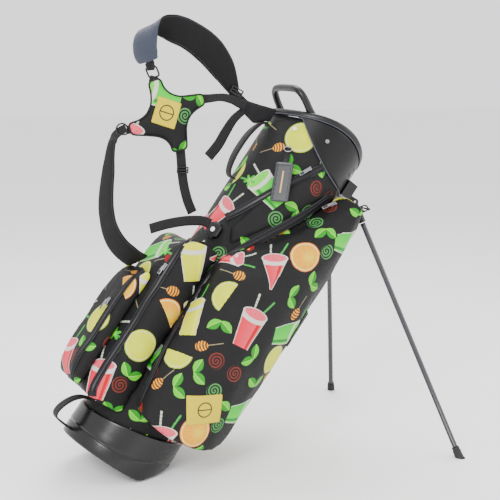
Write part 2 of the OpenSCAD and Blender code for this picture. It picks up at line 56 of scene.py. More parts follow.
# the face that slopes up from a side pocket's diagonal zip: the zip's lower end, then degrees
SLOPE_AT, SLOPE_LEAN, SLOPE_TURN = np.array([-58, -111, 526.0]), 31.7, 48
COS, SIN = math.cos(LEAN), math.sin(LEAN)
TAU = 2 * math.pi


def bag(p):
    """Points of the bag's frame (mm) in the row frame (m)."""
    p = np.atleast_2d(np.asarray(p, float))
    x, y, z = p[:, 0] - FOOT_HINGE[0], p[:, 1], p[:, 2] - FOOT_HINGE[1]
    return np.stack([HINGE[0] + x * COS + z * SIN, y, HINGE[1] - x * SIN + z * COS], 1) / 1000


def unbag(p):
    """Points of the row frame (m) in the bag's frame (mm)."""
    p = np.atleast_2d(np.asarray(p, float)) * 1000
    x, z = p[:, 0] - HINGE[0], p[:, 2] - HINGE[1]
    return np.stack([x * COS - z * SIN + FOOT_HINGE[0], p[:, 1], x * SIN + z * COS + FOOT_HINGE[1]], 1)


def above_ground(p):
    return np.column_stack([p[:, :2], np.maximum(p[:, 2], 0.0)])


def bag_dir(v):
    v = np.asarray(v, float)
    return np.array([v[0] * COS + v[2] * SIN, v[1], -v[0] * SIN + v[2] * COS])


BAG_UP, BAG_FRONT = bag_dir((0, 0, 1)), bag_dir((1, 0, 0))


def rot(axis, deg):
    return np.array(Matrix.Rotation(math.radians(deg), 3, axis))


def rim_height(y, drop=0.0):
    return RIM_Z + SADDLE_R - drop - np.sqrt(SADDLE_R ** 2 - np.clip(y, -200, 200) ** 2)


# ---------------------------------------------------------------- camera first
AZ, EL, DIST = math.radians(-25.65), math.radians(10.49), 2.375
TARGET = Vector((0.245, 0.0, 0.42))
back = Vector((math.sin(AZ) * math.cos(EL), -math.cos(AZ) * math.cos(EL), math.sin(EL)))
cam = bpy.data.objects.new("camera", bpy.data.cameras.new("camera"))
SCENE.collection.objects.link(cam)
cam.location = TARGET + back * DIST
cam.rotation_mode = "QUATERNION"
cam.rotation_quaternion = (-back).to_track_quat("-Z", "Y")
cam.data.sensor_width = 36.0
cam.data.lens = 77.97
cam.data.shift_x, cam.data.shift_y = 0.0186, 0.0254
cam.data.clip_start, cam.data.clip_end = 0.05, 50
SCENE.camera = cam


# ---------------------------------------------------------------- mesh helpers
def link(name, me):
    ob = bpy.data.objects.new(name, me)
    SCENE.collection.objects.link(ob)
    return ob


def mesh(name, verts, faces, uv=None, smooth=True, period=None):
    me = bpy.data.meshes.new(name)
    me.from_pydata([tuple(map(float, v)) for v in verts], [], [tuple(map(int, f)) for f in faces])
    me.update()
    ob = link(name, me)
    if uv is not None:
        set_uv(ob, uv, period)
    for p in me.polygons:
        p.use_smooth = smooth
    fix_normals(ob)
    return ob


def grid_faces(rows, cols, close_rows=True, close_cols=True):
    """Quads over rows of cols points each, joined round where they close."""
    faces = []
    for i in range(rows - (not close_rows)):
        a, b = i * cols, (i + 1) % rows * cols
        for j in range(cols - (not close_cols)):
            k = (j + 1) % cols
            faces.append((a + j, a + k, b + k, b + j))
    return faces


def turned(profile, angles):
    """Points of a profile of (radius, height) turned about z, one row for each profile point."""
    return np.array([(r * math.cos(a), r * math.sin(a), z) for r, z in profile for a in angles])


def lengths(p):
    """Length along a line of points, from 0 at the first one."""
    return np.concatenate([[0], np.cumsum(np.linalg.norm(np.diff(p, axis=0), axis=1))])


def set_uv(ob, uv, period=None):
    """Per-vertex uv in metres. period is the length round a closed piece, so that no face spans the wrap."""
    me = ob.data
    layer = me.uv_layers.get("UVMap") or me.uv_layers.new(name="UVMap")
    idx = np.zeros(len(me.loops), int)
    me.loops.foreach_get("vertex_index", idx)
    co = np.asarray(uv, float)[idx]
    if period:
        for p in me.polygons:
            r = slice(p.loop_start, p.loop_start + p.loop_total)
            u = co[r, 0]
            if u.max() - u.min() > period / 2:
                u[u < u.max() - period / 2] += period
                co[r, 0] = u
    layer.data.foreach_set("uv", co.astype(np.float32).ravel())


def fix_normals(ob):
    bm = bmesh.new()
    bm.from_mesh(ob.data)
    bmesh.ops.recalc_face_normals(bm, faces=bm.faces)
    bm.to_mesh(ob.data)
    bm.free()
    ob.data.update()


def catmull(points, n):
    """n points on a smooth curve through the given ones; works on any number of columns."""
    p = np.asarray(points, float)
    d = np.concatenate([[0], np.cumsum(np.linalg.norm(np.diff(p[:, :3], axis=0), axis=1) + 1e-9)])
    t = np.linspace(0, d[-1], n)
    ext = np.vstack([2 * p[0] - p[1], p, 2 * p[-1] - p[-2]])
    out = np.zeros((n, p.shape[1]))
    for i, s in enumerate(t):
        k = min(max(int(np.searchsorted(d, s, "right")) - 1, 0), len(p) - 2)
        u = (s - d[k]) / (d[k + 1] - d[k])
        a, b, c, e = ext[k], ext[k + 1], ext[k + 2], ext[k + 3]
        out[i] = 0.5 * (2 * b + (c - a) * u + (2 * a - 5 * b + 4 * c - e) * u * u
                        + (3 * b - a - 3 * c + e) * u ** 3)
    return out


def unit(v):
    v = np.asarray(v, float)
    return v / np.maximum(np.linalg.norm(v, axis=-1, keepdims=True), 1e-12)


def superellipse(n, power=2.6):
    """Closed profile of n points in a unit box; power 2 is an ellipse and more is squarer."""
    a = circle(n) + math.pi / n
    c, s = np.cos(a), np.sin(a)
    k = (np.abs(c) ** power + np.abs(s) ** power) ** (-1 / power)
    return np.stack([c * k, s * k], 1)


def flat_profile(x, y):
    """Closed profile from its upper half."""
    top = np.stack([x, y], 1)
    return np.vstack([top, top[::-1] * [1, -1]])


def strap_profile(n=8, pinch=0.35):
    """Flat band: full thickness in the middle, rounded and thinner at its woven edges."""
    x = np.linspace(-1, 1, n)
    return flat_profile(x, np.where(np.abs(x) > 0.93, pinch, 1.0))


def pad_profile():
    """Foam pad: crowned middle between two flat sewn edges."""
    x, edge = np.linspace(-1, 1, 14), 0.28
    inner = np.clip(1 - (np.abs(x) / 0.9) ** 2.4, 0, 1)
    y = edge + (1 - edge) * inner ** 0.6
    y[0] = y[-1] = edge * 0.45
    return flat_profile(x, y)


def loft(name, centre, half_w, half_t, profile, closed=False):
    """Skin through one profile at each station: its x runs along half_w and its y along half_t."""
    c, w, t = (np.asarray(a, float) for a in (centre, half_w, half_t))
    n, m = len(c), len(profile)
    P = c[:, None] + profile[None, :, :1] * w[:, None] + profile[None, :, 1:] * t[:, None]
    V = P.reshape(-1, 3)
    F = grid_faces(n, m, closed)
    if not closed:
        F += [tuple(range(m))[::-1], tuple((n - 1) * m + j for j in range(m))]
    u = profile[None, :, 0] * np.linalg.norm(w, axis=1)[:, None]
    uv = np.stack([u, np.repeat(lengths(c)[:, None], m, 1)], 2).reshape(-1, 2)
    return mesh(name, V, F, uv)


def spread(values, n):
    """n values that run evenly through the given ones."""
    return np.interp(np.linspace(0, 1, n), np.linspace(0, 1, np.size(values)), np.atleast_1d(values))


def strap(name, points, width, thick, normal, n=40, profile=None):
    """Flat strap along row-frame points in metres. normal is one vector or one for each point."""
    p = np.asarray(points, float)
    nn = np.broadcast_to(np.asarray(normal, float), p.shape)
    s = catmull(np.hstack([p, nn]), n)
    c, nn = s[:, :3], unit(s[:, 3:6])
    t = unit(np.gradient(c, axis=0))
    nn = unit(nn - (nn * t).sum(1)[:, None] * t)
    w = np.cross(t, nn)
    return loft(name, c, w * spread(width, n)[:, None] / 2, nn * spread(thick, n)[:, None] / 2,
                strap_profile() if profile is None else profile)


def tube(name, points, radius, n=0, sides=8, closed=False, up=(0, 0, 1)):
    """Round cord along the points, or along a smooth line of n points through them."""
    c = catmull(points, n) if n else np.asarray(points, float)
    t = unit(np.roll(c, -1, 0) - np.roll(c, 1, 0) if closed else np.gradient(c, axis=0))
    a = unit(np.cross(t, np.broadcast_to(np.asarray(up, float), c.shape)))
    return loft(name, c, a * radius, np.cross(a, t) * radius, superellipse(sides, 2.0), closed=closed)


def panel(name, outline, place, height, cell, thick=0.0):
    """Sewn panel: outline (k, 2) in mm, filled with cells. place(uv, h) gives the row-frame points of
    flat points uv raised by h mm. height(d, uv) is the top surface at distance d from the edge."""
    o = np.asarray(outline, float)
    edge = []
    for a, b in zip(o, np.roll(o, -1, 0)):
        k = max(1, int(np.linalg.norm(b - a) / cell))
        edge += [a + (b - a) * i / k for i in range(k)]
    edge = np.array(edge)
    lo, hi = o.min(0), o.max(0)
    gx = np.arange(lo[0], hi[0], cell)
    gy = np.arange(lo[1], hi[1], cell * 0.87)
    grid = np.array([(x + (cell / 2 if j % 2 else 0), y) for j, y in enumerate(gy) for x in gx])
    grid = grid[inside(grid, o) & (edge_distance(grid, o) > cell * 0.6)]
    ne = len(edge)
    v2, _, f2, *_ = delaunay_2d_cdt([Vector(p) for p in np.vstack([edge, grid])],
                                    [(i, (i + 1) % ne) for i in range(ne)], [list(range(ne))], 1, 1e-6)
    q = np.array([tuple(v) for v in v2])
    n = len(q)
    V = np.vstack([place(q, height(edge_distance(q, o), q)), place(q, -thick * np.ones(n))])
    F = [tuple(f) for f in f2] + [tuple(i + n for i in reversed(f)) for f in f2]
    sides = dict.fromkeys((a, b) for f in f2 for a, b in zip(f, list(f[1:]) + [f[0]]))
    F += [(b, a, a + n, b + n) for a, b in sides if (b, a) not in sides]
    return mesh(name, V, F, np.vstack([q, q]) / 1000)


def edge_distance(p, o):
    best = np.full(len(p), 1e9)
    for a, b in zip(o, np.roll(o, -1, 0)):
        ab = b - a
        t = np.clip(((p - a) @ ab) / max(ab @ ab, 1e-9), 0, 1)
        best = np.minimum(best, np.linalg.norm(p - (a + t[:, None] * ab), axis=1))
    return best


def inside(p, o):
    c = np.zeros(len(p), bool)
    for a, b in zip(o, np.roll(o, -1, 0)):
        cross = (a[1] > p[:, 1]) != (b[1] > p[:, 1])
        with np.errstate(divide="ignore", invalid="ignore"):
            x = (b[0] - a[0]) * (p[:, 1] - a[1]) / (b[1] - a[1]) + a[0]
        c ^= cross & (p[:, 0] < x)
    return c


def round_outline(o, r, k=5):
    """Outline with its corners rounded by about r mm."""
    o = np.asarray(o, float)
    out = []
    for i in range(len(o)):
        a, b, c = o[i - 1], o[i], o[(i + 1) % len(o)]
        ra = min(r, np.linalg.norm(a - b) * 0.45)
        rc = min(r, np.linalg.norm(c - b) * 0.45)
        p, q = b + unit(a - b) * ra, b + unit(c - b) * rc
        for t in np.linspace(0, 1, k):
            out.append((1 - t) ** 2 * p + 2 * t * (1 - t) * b + t * t * q)
    return np.array(out)


def modifier(ob, kind, **values):
    m = ob.modifiers.new(kind.lower(), kind)
    for k, v in values.items():
        setattr(m, k, v)
    return m


def apply_modifiers(ob):
    dg = bpy.context.evaluated_depsgraph_get()
    me = bpy.data.meshes.new_from_object(ob.evaluated_get(dg), preserve_all_data_layers=True, depsgraph=dg)
    ob.modifiers.clear()
    ob.data = me
    return ob


def coords(ob):
    co = np.zeros(len(ob.data.vertices) * 3)
    ob.data.vertices.foreach_get("co", co)
    return co.reshape(-1, 3)


def set_coords(ob, co):
    ob.data.vertices.foreach_set("co", np.asarray(co, np.float32).ravel())
    ob.data.update()


def lifted(q):
    """Flat points as points in space, for wave()."""
    return np.column_stack([q, 0 * q[:, 0]])


def circle(n):
    """n angles all round."""
    return np.linspace(0, TAU, n, endpoint=False)


def turn_flat(q, angle):
    """The two coordinates of flat points turned by angle."""
    c, s = math.cos(angle), math.sin(angle)
    return q[:, 0] * c - q[:, 1] * s, q[:, 0] * s + q[:, 1] * c


def bvh_of(*obs):
    """One search tree over the surfaces of several objects, in the row frame."""
    V, F = [], []
    for ob in obs:
        k = len(V)
        V += [tuple(c) for c in coords(ob)]
        F += [tuple(i + k for i in p.vertices) for p in ob.data.polygons]
    return BVHTree.FromPolygons(V, F)


def wave(p, scale, seed):
    """Smooth seeded noise of points, about -1 to 1."""
    rng = np.random.RandomState(seed)
    out = np.zeros(len(p))
    for _ in range(6):
        k = rng.normal(size=3) / scale
        out += np.sin(p @ k + rng.uniform(0, 6.28))
    return out / 2.4


# ---------------------------------------------------------------- materials
def srgb(r, g, b):
    return tuple((c / 255 / 12.92 if c / 255 <= 0.04045 else ((c / 255 + 0.055) / 1.055) ** 2.4)
                 for c in (r, g, b)) + (1.0,)


class Value:
    """A number in a shader: arithmetic on it adds the nodes for it."""

    def __init__(self, tree, socket):
        self.tree, self.socket = tree, socket

    def __add__(self, other):
        return self.tree.math("ADD", self, other)

    def __sub__(self, other):
        return self.tree.math("SUBTRACT", self, other)

    def __rsub__(self, other):
        return self.tree.math("SUBTRACT", other, self)

    def __mul__(self, other):
        return self.tree.math("MULTIPLY", self, other)

    def __truediv__(self, other):
        return self.tree.math("DIVIDE", self, other)

    def __abs__(self):
        return self.tree.math("ABSOLUTE", self)

    def __gt__(self, other):
        return self.tree.math("GREATER_THAN", self, other)

    def __lt__(self, other):
        return self.tree.math("LESS_THAN", self, other)


class Tree:
    """A material, with short calls that add shader nodes to it."""

    def __init__(self, name):
        self.mat = bpy.data.materials.new(name)
        self.mat.use_nodes = True
        self.nodes, self.links = self.mat.node_tree.nodes, self.mat.node_tree.links
        self.nodes.clear()
        self.surface = self.node("BsdfPrincipled")
        self.node("OutputMaterial", self.surface.outputs[0])

    def put(self, socket, value):
        if isinstance(value, Value):
            value = value.socket
        if isinstance(value, bpy.types.NodeSocket):
            self.links.new(value, socket)
        elif value is not None:
            socket.default_value = value

    def node(self, kind, *values, inputs=(), **settings):
        """Values go into the first inputs, in order, and the pairs in inputs go by name."""
        n = self.nodes.new("ShaderNode" + kind)
        for key, value in settings.items():
            setattr(n, key, value)
        for socket, value in zip(n.inputs, values):
            self.put(socket, value)
        for key, value in inputs:
            if value is not None:
                self.put(n.inputs[key], value)
        return n

    def math(self, op, *values, clamp=False):
        return Value(self, self.node("Math", *values, operation=op, use_clamp=clamp).outputs[0])

    def vec(self, op, *values, scale=None):
        return self.node("VectorMath", *values, inputs=[("Scale", scale)], operation=op).outputs["Vector"]

    def length(self, x, y):
        n = self.node("VectorMath", self.join(x, y), operation="LENGTH")
        return Value(self, n.outputs["Value"])

    def tint(self, colour, shade):
        return self.vec("SCALE", colour[:3], scale=shade)

    def turn(self, v, angle):
        return self.node("VectorRotate", v, inputs=[("Angle", angle)], rotation_type="Z_AXIS").outputs[0]

    def split(self, v):
        return [Value(self, s) for s in self.node("SeparateXYZ", v).outputs]

    def join(self, x, y, z=0.0):
        return self.node("CombineXYZ", x, y, z).outputs[0]

    def mix(self, factor, a, b):
        n = self.node("Mix", factor, data_type="RGBA")
        self.put(n.inputs[6], a)
        self.put(n.inputs[7], b)
        return n.outputs[2]

    def step(self, x, edge, soft):
        """1 where x is under edge, fading over soft."""
        return Value(self, self.node("MapRange", x, edge - soft, edge + soft, 1.0, 0.0).outputs[0])

    def saw(self, x):
        """0.5 at each whole x, falling to 0 half way between."""
        return abs(self.math("FRACT", x) - 0.5)

    def noise(self, v, scale, detail):
        n = self.node("TexNoise", inputs=[("Vector", v), ("Scale", scale), ("Detail", detail)])
        return Value(self, n.outputs[0])

    def voronoi(self, v, scale):
        return Value(self, self.node("TexVoronoi", inputs=[("Vector", v), ("Scale", scale)]).outputs[0])

    def uv(self):
        return self.node("UVMap", uv_map="UVMap").outputs[0]

    def place(self):
        return self.node("TexCoord").outputs["Object"]

    def bump(self, height, distance, strength=1.0, below=None):
        return self.node("Bump", inputs=[("Height", height), ("Distance", distance), ("Strength", strength),
                                         ("Normal", below)]).outputs[0]

    def weave(self, uv, pitch):
        """Plain weave height: threads over and under in both directions."""
        x, y, _ = self.split(self.vec("MULTIPLY", uv, (TAU / pitch, TAU / pitch, 0)))
        return self.math("SINE", x) * self.math("SINE", y)

    def set(self, **values):
        for key, value in values.items():
            self.put(self.surface.inputs[key.replace("_", " ")], value)
        return self.mat


def fabric(name, colour, pitch=0.0012, rough=0.8, bump=0.00025, sheen=0.0):
    t = Tree(name)
    uv = t.uv()
    n = t.noise(uv, 18.0, 3.0)
    shade = (n * 0.5 + 0.75) * (t.noise(uv, 900.0, 2.0) * 0.5 + 0.75)
    return t.set(Base_Color=t.tint(colour, shade), Roughness=n * 0.15 + (rough - 0.07),
                 Normal=t.bump(t.weave(uv, pitch), bump), Specular_IOR_Level=0.3,
                 Sheen_Weight=sheen, Sheen_Roughness=0.4)


def webbing_material(name, colour):
    """Flat tape with chevron ribs across, with painted shade in the grooves between the ribs."""
    t = Tree(name)
    uv = t.uv()
    x, y, _ = t.split(uv)
    zig = abs(t.math("SINE", x * (TAU / 0.008)))
    rib = t.math("SINE", y * (TAU / 0.0022) + zig * 2.2)
    # painted shade: the colour follows the rib height and is darker in the grooves, on top of a random tone
    shade = rib * 0.22 + (t.noise(uv, 60.0, 3.0) * 0.5 + 0.75)
    return t.set(Base_Color=t.tint(colour, shade), Roughness=0.62, Normal=t.bump(rib, 0.0003),
                 Specular_IOR_Level=0.3)


def plastic(name, colour, rough=0.38, grain=0.00006, scale=900.0, coat=0.0):
    """Moulded or coated part: fine grain, with slow changes in shade and gloss."""
    t = Tree(name)
    where = t.place()
    return t.set(Base_Color=t.tint(colour, t.noise(where, 9.0, 3.0) * 0.2 + 0.9),
                 Roughness=t.noise(where, 40.0, 4.0) * 0.16 + (rough - 0.08),
                 Normal=t.bump(t.noise(where, scale, 2.0), grain),
                 Specular_IOR_Level=0.4, Coat_Weight=coat, Coat_Roughness=0.18)


def metal(name, colour, rough, stretch=1.0, grain=0.00003):
    t = Tree(name)
    where = t.place()
    lines = t.noise(t.vec("MULTIPLY", where, (1.0, 1.0, stretch)), 260.0, 3.0)
    smear = t.noise(where, 30.0, 3.0)
    return t.set(Base_Color=t.tint(colour, smear * 0.2 + 0.9), Metallic=1.0,
                 Roughness=smear * 0.22 + (rough - 0.08), Normal=t.bump(lines, grain))


def leather(name, colour):
    """Coated leathercloth: pebbled cells, satin gloss."""
    t = Tree(name)
    uv = t.uv()
    big = t.noise(uv, 14.0, 3.0)
    height = t.noise(uv, 1400.0, 2.0) * 0.3 + t.voronoi(uv, 620.0)
    return t.set(Base_Color=t.tint(colour, big * 0.3 + 0.85), Normal=t.bump(height, 0.00016),
                 Roughness=big * 0.14 + 0.32, Specular_IOR_Level=0.26)


# -------- the print: drinks, citrus, mint, spirals and honey dippers on near-black, own composition
TILE = 0.36
PRINT_SCALE = 1.18
PRINT_SEED = 5
SOFT = 0.35         # mm over which the edge of an ink fades
DRINK, CITRUS, LEAF, SPIRAL, DIPPER = range(5)
# for each motif: its box (centre x, y, half x, y) and circles kept clear of other kinds (x, y, r), in m
MOTIFS = {
    DRINK: ((0, -0.0015, 0.030, 0.0485), [(0, -0.032, 0.020), (0, 0.006, 0.028), (0, 0.036, 0.019)]),
    CITRUS: ((0, 0, 0.0295, 0.0295), [(0, 0, 0.0295)]),
    LEAF: ((0, 0.006, 0.0255, 0.0155), [(-0.012, 0.004, 0.013), (0.012, 0.004, 0.013)]),
    SPIRAL: ((0, 0, 0.0155, 0.0155), [(0, 0, 0.0155)]),
    DIPPER: ((-0.013, 0, 0.0255, 0.0098), [(0, 0, 0.012), (-0.022, 0, 0.004), (-0.034, 0, 0.003)]),
}
# kinds in the order they are placed, with the variant of each one
# drinks: 0 green, 1 yellow, 2 red, 3 red cone; citrus: odd ones orange, 2 and 3 halves; the rest: 0 or 1
COUNTS = [(DRINK, (0, 1, 2, 3, 1, 0, 3, 2)), (CITRUS, (0, 1, 2, 0, 3, 2)), (DIPPER, (0, 0, 1, 0, 0, 1, 0, 0)),
          (LEAF, (0,) * 10), (SPIRAL, (0, 1, 0, 1, 0, 0, 1))]


def box_corners(x, y, angle, box):
    cx, cy, hx, hy = box
    c, s = math.cos(angle), math.sin(angle)
    return np.array([(x + u * c - v * s, y + u * s + v * c)
                     for u in (cx - hx, cx + hx) for v in (cy - hy, cy + hy)])


def apart(a, b):
    """True if two turned boxes (x, y, angle, box) of one kind keep clear of each other on the tile."""
    A = box_corners(*a)
    sides = [np.array([math.cos(ang), math.sin(ang)])
             for ang in (a[2], a[2] + math.pi / 2, b[2], b[2] + math.pi / 2)]
    for dx in (-TILE, 0, TILE):
        for dy in (-TILE, 0, TILE):
            B = box_corners(b[0] + dx, b[1] + dy, *b[2:])
            if not any((A @ n).max() < (B @ n).min() or (B @ n).max() < (A @ n).min() for n in sides):
                return False
    return True


def scatter(seed):
    """Places the motifs in a repeating tile with none on another: (kind, variant, x, y, angle)."""
    rng = np.random.RandomState(seed)
    placed, circles = [], []
    for kind, variants in COUNTS:
        box, discs = MOTIFS[kind]
        for variant in variants:
            best = None
            for _ in range(420):
                x, y = rng.uniform(0, TILE, 2)
                ang = rng.uniform(-1.3, 1.3) if kind == DRINK else rng.uniform(0, 2 * math.pi)
                c, s = math.cos(ang), math.sin(ang)
                gap = 1.0
                mine = [(x + a * c - b * s, y + a * s + b * c, r) for a, b, r in discs]
                for mx, my, mr in mine:
                    for ox, oy, other in circles:
                        dx, dy = abs(mx - ox) % TILE, abs(my - oy) % TILE
                        gap = min(gap, math.hypot(min(dx, TILE - dx), min(dy, TILE - dy)) - mr - other)
                if gap < 0.0008 or (best is not None and gap > best[0]):
                    continue
                if all(apart((x, y, ang, box), (*o[2:], box)) for o in placed if o[0] == kind):
                    best = (gap, (kind, variant, x, y, ang), mine)
            if best:
                placed.append(best[1])
                circles += best[2]
    return placed


def motif_space(t, uv, kind, layout):
    """Place in mm within the motif of this kind that a point falls on, z its variant; far off elsewhere."""
    cx, cy, hx, hy = MOTIFS[kind][0]
    half = TILE / 2
    total = covered = None
    for k, variant, x, y, ang in layout:
        if k != kind:
            continue
        q = t.vec("WRAP", t.vec("SUBTRACT", uv, (x, y, 0.0)), (half, half, 1.0), (-half, -half, -1.0))
        q = t.turn(q, -ang)
        unit_box = t.vec("MULTIPLY_ADD", q, (1 / hx, 1 / hy, 0.0), (-cx / hx, -cy / hy, 0.0))
        bx, by, _ = t.split(t.vec("ABSOLUTE", unit_box))
        on = t.math("MAXIMUM", bx, by) < 1.0
        q = t.vec("SCALE", t.vec("ADD", q, (0.0, 0.0, variant * 0.001)), scale=on)
        total = q if total is None else t.vec("ADD", total, q)
        covered = on if covered is None else t.math("MAXIMUM", covered, on)
    away = 1.0 - covered
    return t.vec("SCALE", t.vec("ADD", total, t.join(away, away)), scale=1000.0)


def spirals(t, q, col):
    x, y, v = t.split(q)
    r = t.length(x, y)
    wind = t.saw(r / 5.4 - t.math("ARCTAN2", y, x) / TAU)
    on = t.step(wind, 0.27, 0.06) * t.step(r, 15.0, SOFT)
    return t.mix(on, col, t.mix(v > 0.5, srgb(168, 98, 82), srgb(132, 190, 130)))


def dippers(t, q, col):
    """Honey dippers, and small fruit on sticks."""
    x, y, v = t.split(q)
    stick = t.step(abs(y), 0.8, SOFT) * (t.step(x, -8.0, SOFT) * (1.0 - t.step(x, -38.0, SOFT)))
    col = t.mix(stick, col, srgb(196, 186, 160))
    stripe = t.step(t.saw((y * y * 0.035 + x) / 5.2), 0.21, 0.05)
    honey = t.mix(stripe, srgb(252, 204, 96), srgb(140, 78, 24))
    berry = t.mix(t.step(t.length(x - 3.0, y - 3.0), 3.0, 1.0), srgb(186, 60, 32), srgb(250, 214, 150))
    egg = t.length(x / 11.5, y / 8.8)
    return t.mix(t.step(egg, 1.0, 0.05), col, t.mix(v > 0.5, honey, berry))


def mint(t, q, col):
    """A pair of leaves."""
    x, y, _ = t.split(q)
    along, across, _ = t.split(t.turn(t.join(abs(x), y + 6.0), math.radians(-38)))
    width = t.math("POWER", t.math("SINE", t.math("DIVIDE", along, 27.0, clamp=True) * math.pi), 0.75) * 8.6
    blade = t.step(abs(across) - width, 0.0, SOFT) * t.step(along, 27.0, SOFT)
    leaf = blade * (1.0 - t.step(along, 0.0, SOFT))
    green = t.mix(across > 0.0, srgb(150, 232, 74), srgb(84, 196, 58))
    return t.mix(leaf, col, t.mix(t.step(abs(across), 0.45, 0.3), green, srgb(222, 250, 150)))


def citrus(t, q, col):
    """Whole and half slices of lemon and orange."""
    x, y, v = t.split(q)
    r = t.length(x, y)
    sector = TAU / 9
    spoke = (0.5 - t.saw(t.math("ARCTAN2", y, x) / sector)) * (r * sector)
    orange = t.math("MAXIMUM", t.math("COMPARE", v, 1.0, 0.3), t.math("COMPARE", v, 3.0, 0.3))
    flesh = t.mix(orange, srgb(238, 243, 10), srgb(255, 206, 60))
    flesh = t.mix(t.step(t.length(x + 6.0, y - 6.0), 9.0, 9.0) * 0.5, flesh, srgb(250, 252, 90))
    flesh = t.mix(t.step(spoke, 0.7, 0.5) * 0.26, flesh, srgb(250, 248, 205))
    pith = t.mix(t.step(r, 24.2, 0.4), srgb(246, 244, 196), flesh)
    rind = t.mix(t.step(r, 26.6, 0.4), t.mix(orange, srgb(206, 222, 10), srgb(255, 176, 20)), pith)
    kept = t.math("MAXIMUM", v < 1.5, 1.0 - t.step(y, -1.0, SOFT))
    return t.mix(t.step(r, 28.5, SOFT) * kept, col, rind)


def drinks(t, q, col):
    """Tumblers and cone glasses with two straws; the green ones have a sprig."""
    x, y, v = t.split(q)
    green, yellow, cone = v < 0.5, t.math("COMPARE", v, 1.0, 0.3), v > 2.5

    def flavour(red, lemon, lime):
        return t.mix(green, t.mix(yellow, srgb(*red), srgb(*lemon)), srgb(*lime))
    tint = flavour((250, 84, 112), (236, 240, 20), (88, 226, 96))
    deep = flavour((228, 22, 34), (250, 250, 120), (20, 186, 96))
    light = flavour((252, 150, 166), (244, 246, 70), (160, 244, 110))
    pale = srgb(240, 238, 232)
    for foot_x, lean, straw in ((-7.0, 0.42, srgb(110, 214, 120)), (6.0, -0.12, srgb(236, 234, 228))):
        a, b, _ = t.split(t.turn(t.join(x - foot_x, y - 8.0), -lean))
        on = t.step(abs(a), 1.9, SOFT) * t.step(abs(b - 19.0), 22.0, SOFT)
        stripe = t.step(t.saw(b / 6.0), 0.2, 0.06)
        col = t.mix(on, col, t.mix(stripe * 0.45, straw, srgb(120, 170, 120)))

    down = t.math("DIVIDE", 12.0 - y, 62.0, clamp=True)
    wide = down * (cone * -14.0 - 9.0) + 25.0
    side = abs(x) - wide
    bulge = t.math("SQRT", t.math("SUBTRACT", 1.0, t.math("POWER", x / 26.0, 2.0), clamp=True))
    glass = t.step(side, 0.0, SOFT) * (t.step(y, 12.0, SOFT) * (1.0 - t.step(bulge * 5.0 + y, -46.0, SOFT)))
    across = x / wide
    fill = t.mix(t.math("MULTIPLY_ADD", across, 0.5, 0.5, clamp=True), light, tint)
    fill = t.mix(t.step(abs(across + 0.62), 0.14, 0.05), fill, deep)
    fill = t.mix(t.step(0.0 - side, 1.6, 0.5), fill, pale)
    fill = t.mix(1.0 - t.step(bulge * 9.0 + y, 5.0, 0.8), fill, pale)
    col = t.mix(glass, col, fill)

    rim = t.length(x / 25.5, (y - 12.0) / 9.5)
    bits = t.step(t.voronoi(t.join(x, y), 0.22), 0.26, 0.1)
    top = t.mix(t.step(rim, 0.86, 0.04), pale, t.mix(bits * 0.6, light, deep))
    col = t.mix(t.step(rim, 1.0, 0.03), col, top)

    sx, sy = x + 14.0, y - 24.0
    r = t.length(sx, sy)
    petals = t.math("COSINE", t.math("ARCTAN2", sy, sx) * 5.0) * 4.2 + 8.6
    sprig = t.step(r - petals, 0.0, 0.5) * green
    return t.mix(sprig, col, t.mix(t.step(r, 5.0, 3.0), srgb(110, 220, 76), srgb(176, 244, 110)))


def print_fabric():
    t = Tree("print_fabric")
    uv = t.uv()
    scaled = t.vec("SCALE", uv, scale=1 / PRINT_SCALE)
    layout = scatter(PRINT_SEED)
    cloth, grain = t.noise(uv, 22.0, 3.0), t.noise(uv, 1100.0, 1.0)
    col = t.tint(srgb(42, 39, 47), cloth * 0.5 + 0.72)
    for kind, draw in ((SPIRAL, spirals), (DIPPER, dippers), (LEAF, mint), (CITRUS, citrus), (DRINK, drinks)):
        col = draw(t, motif_space(t, scaled, kind, layout), col)
    inks = t.node("Gamma", col, 1.8).outputs[0]
    folds = t.bump(t.noise(uv, 26.0, 2.0), 0.0022, 0.35)
    return t.set(Base_Color=t.vec("SCALE", inks, scale=grain * 0.2 + 0.66), Roughness=cloth * 0.14 + 0.50,
                 Normal=t.bump(t.weave(uv, 0.0011), 0.00012, below=folds), Specular_IOR_Level=0.28)


def patch_material():
    """Embroidered yellow patch: rows of satin stitch and a plain dark device, a ring with a bar."""
    t = Tree("patch_embroidery")
    uv = t.uv()
    x, y, _ = t.split(t.vec("SCALE", uv, scale=1000.0))
    rows = t.math("SINE", (x + y * 0.3) * (TAU / 0.9))
    yellow = t.mix(t.noise(uv, 120.0, 3.0), srgb(234, 208, 0), srgb(244, 220, 8))
    ring = t.step(abs(t.length(x, y) - 15.0), 1.3, 0.3)
    mark = t.math("MAXIMUM", ring, t.step(abs(y), 1.2, 0.3) * t.step(abs(x), 15.0, 0.3))
    # painted shade: the colour is slightly darker between the rows of satin stitch
    col = t.vec("SCALE", t.mix(mark, yellow, srgb(40, 32, 22)), scale=rows * 0.05 + 0.95)
    return t.set(Base_Color=col, Roughness=0.62, Normal=t.bump(rows + mark * 2.0, 0.0003))


def tag_material():
    """Smooth card with a lighter stitched frame and a plain bar where a name would be."""
    t = Tree("tag_card")
    uv = t.uv()
    x, y, _ = t.split(t.vec("SCALE", uv, scale=1000.0))
    n = t.noise(uv, 90.0, 4.0)
    inset = t.math("MINIMUM", 19.0 - abs(x), 43.0 - abs(y))
    thread = t.step(abs(inset - 2.6), 0.45, 0.25) * t.step(t.saw((x + y) / 3.2), 0.34, 0.05)
    bar = t.step(abs(x), 1.6, 0.3) * t.step(abs(y), 24.0, 0.4)
    col = t.mix(thread, t.tint(srgb(36, 37, 41), n * 0.4 + 0.8), srgb(92, 94, 100))
    return t.set(Base_Color=t.mix(bar, col, srgb(196, 150, 84)), Roughness=0.45,
                 Normal=t.bump(n + thread, 0.0002))


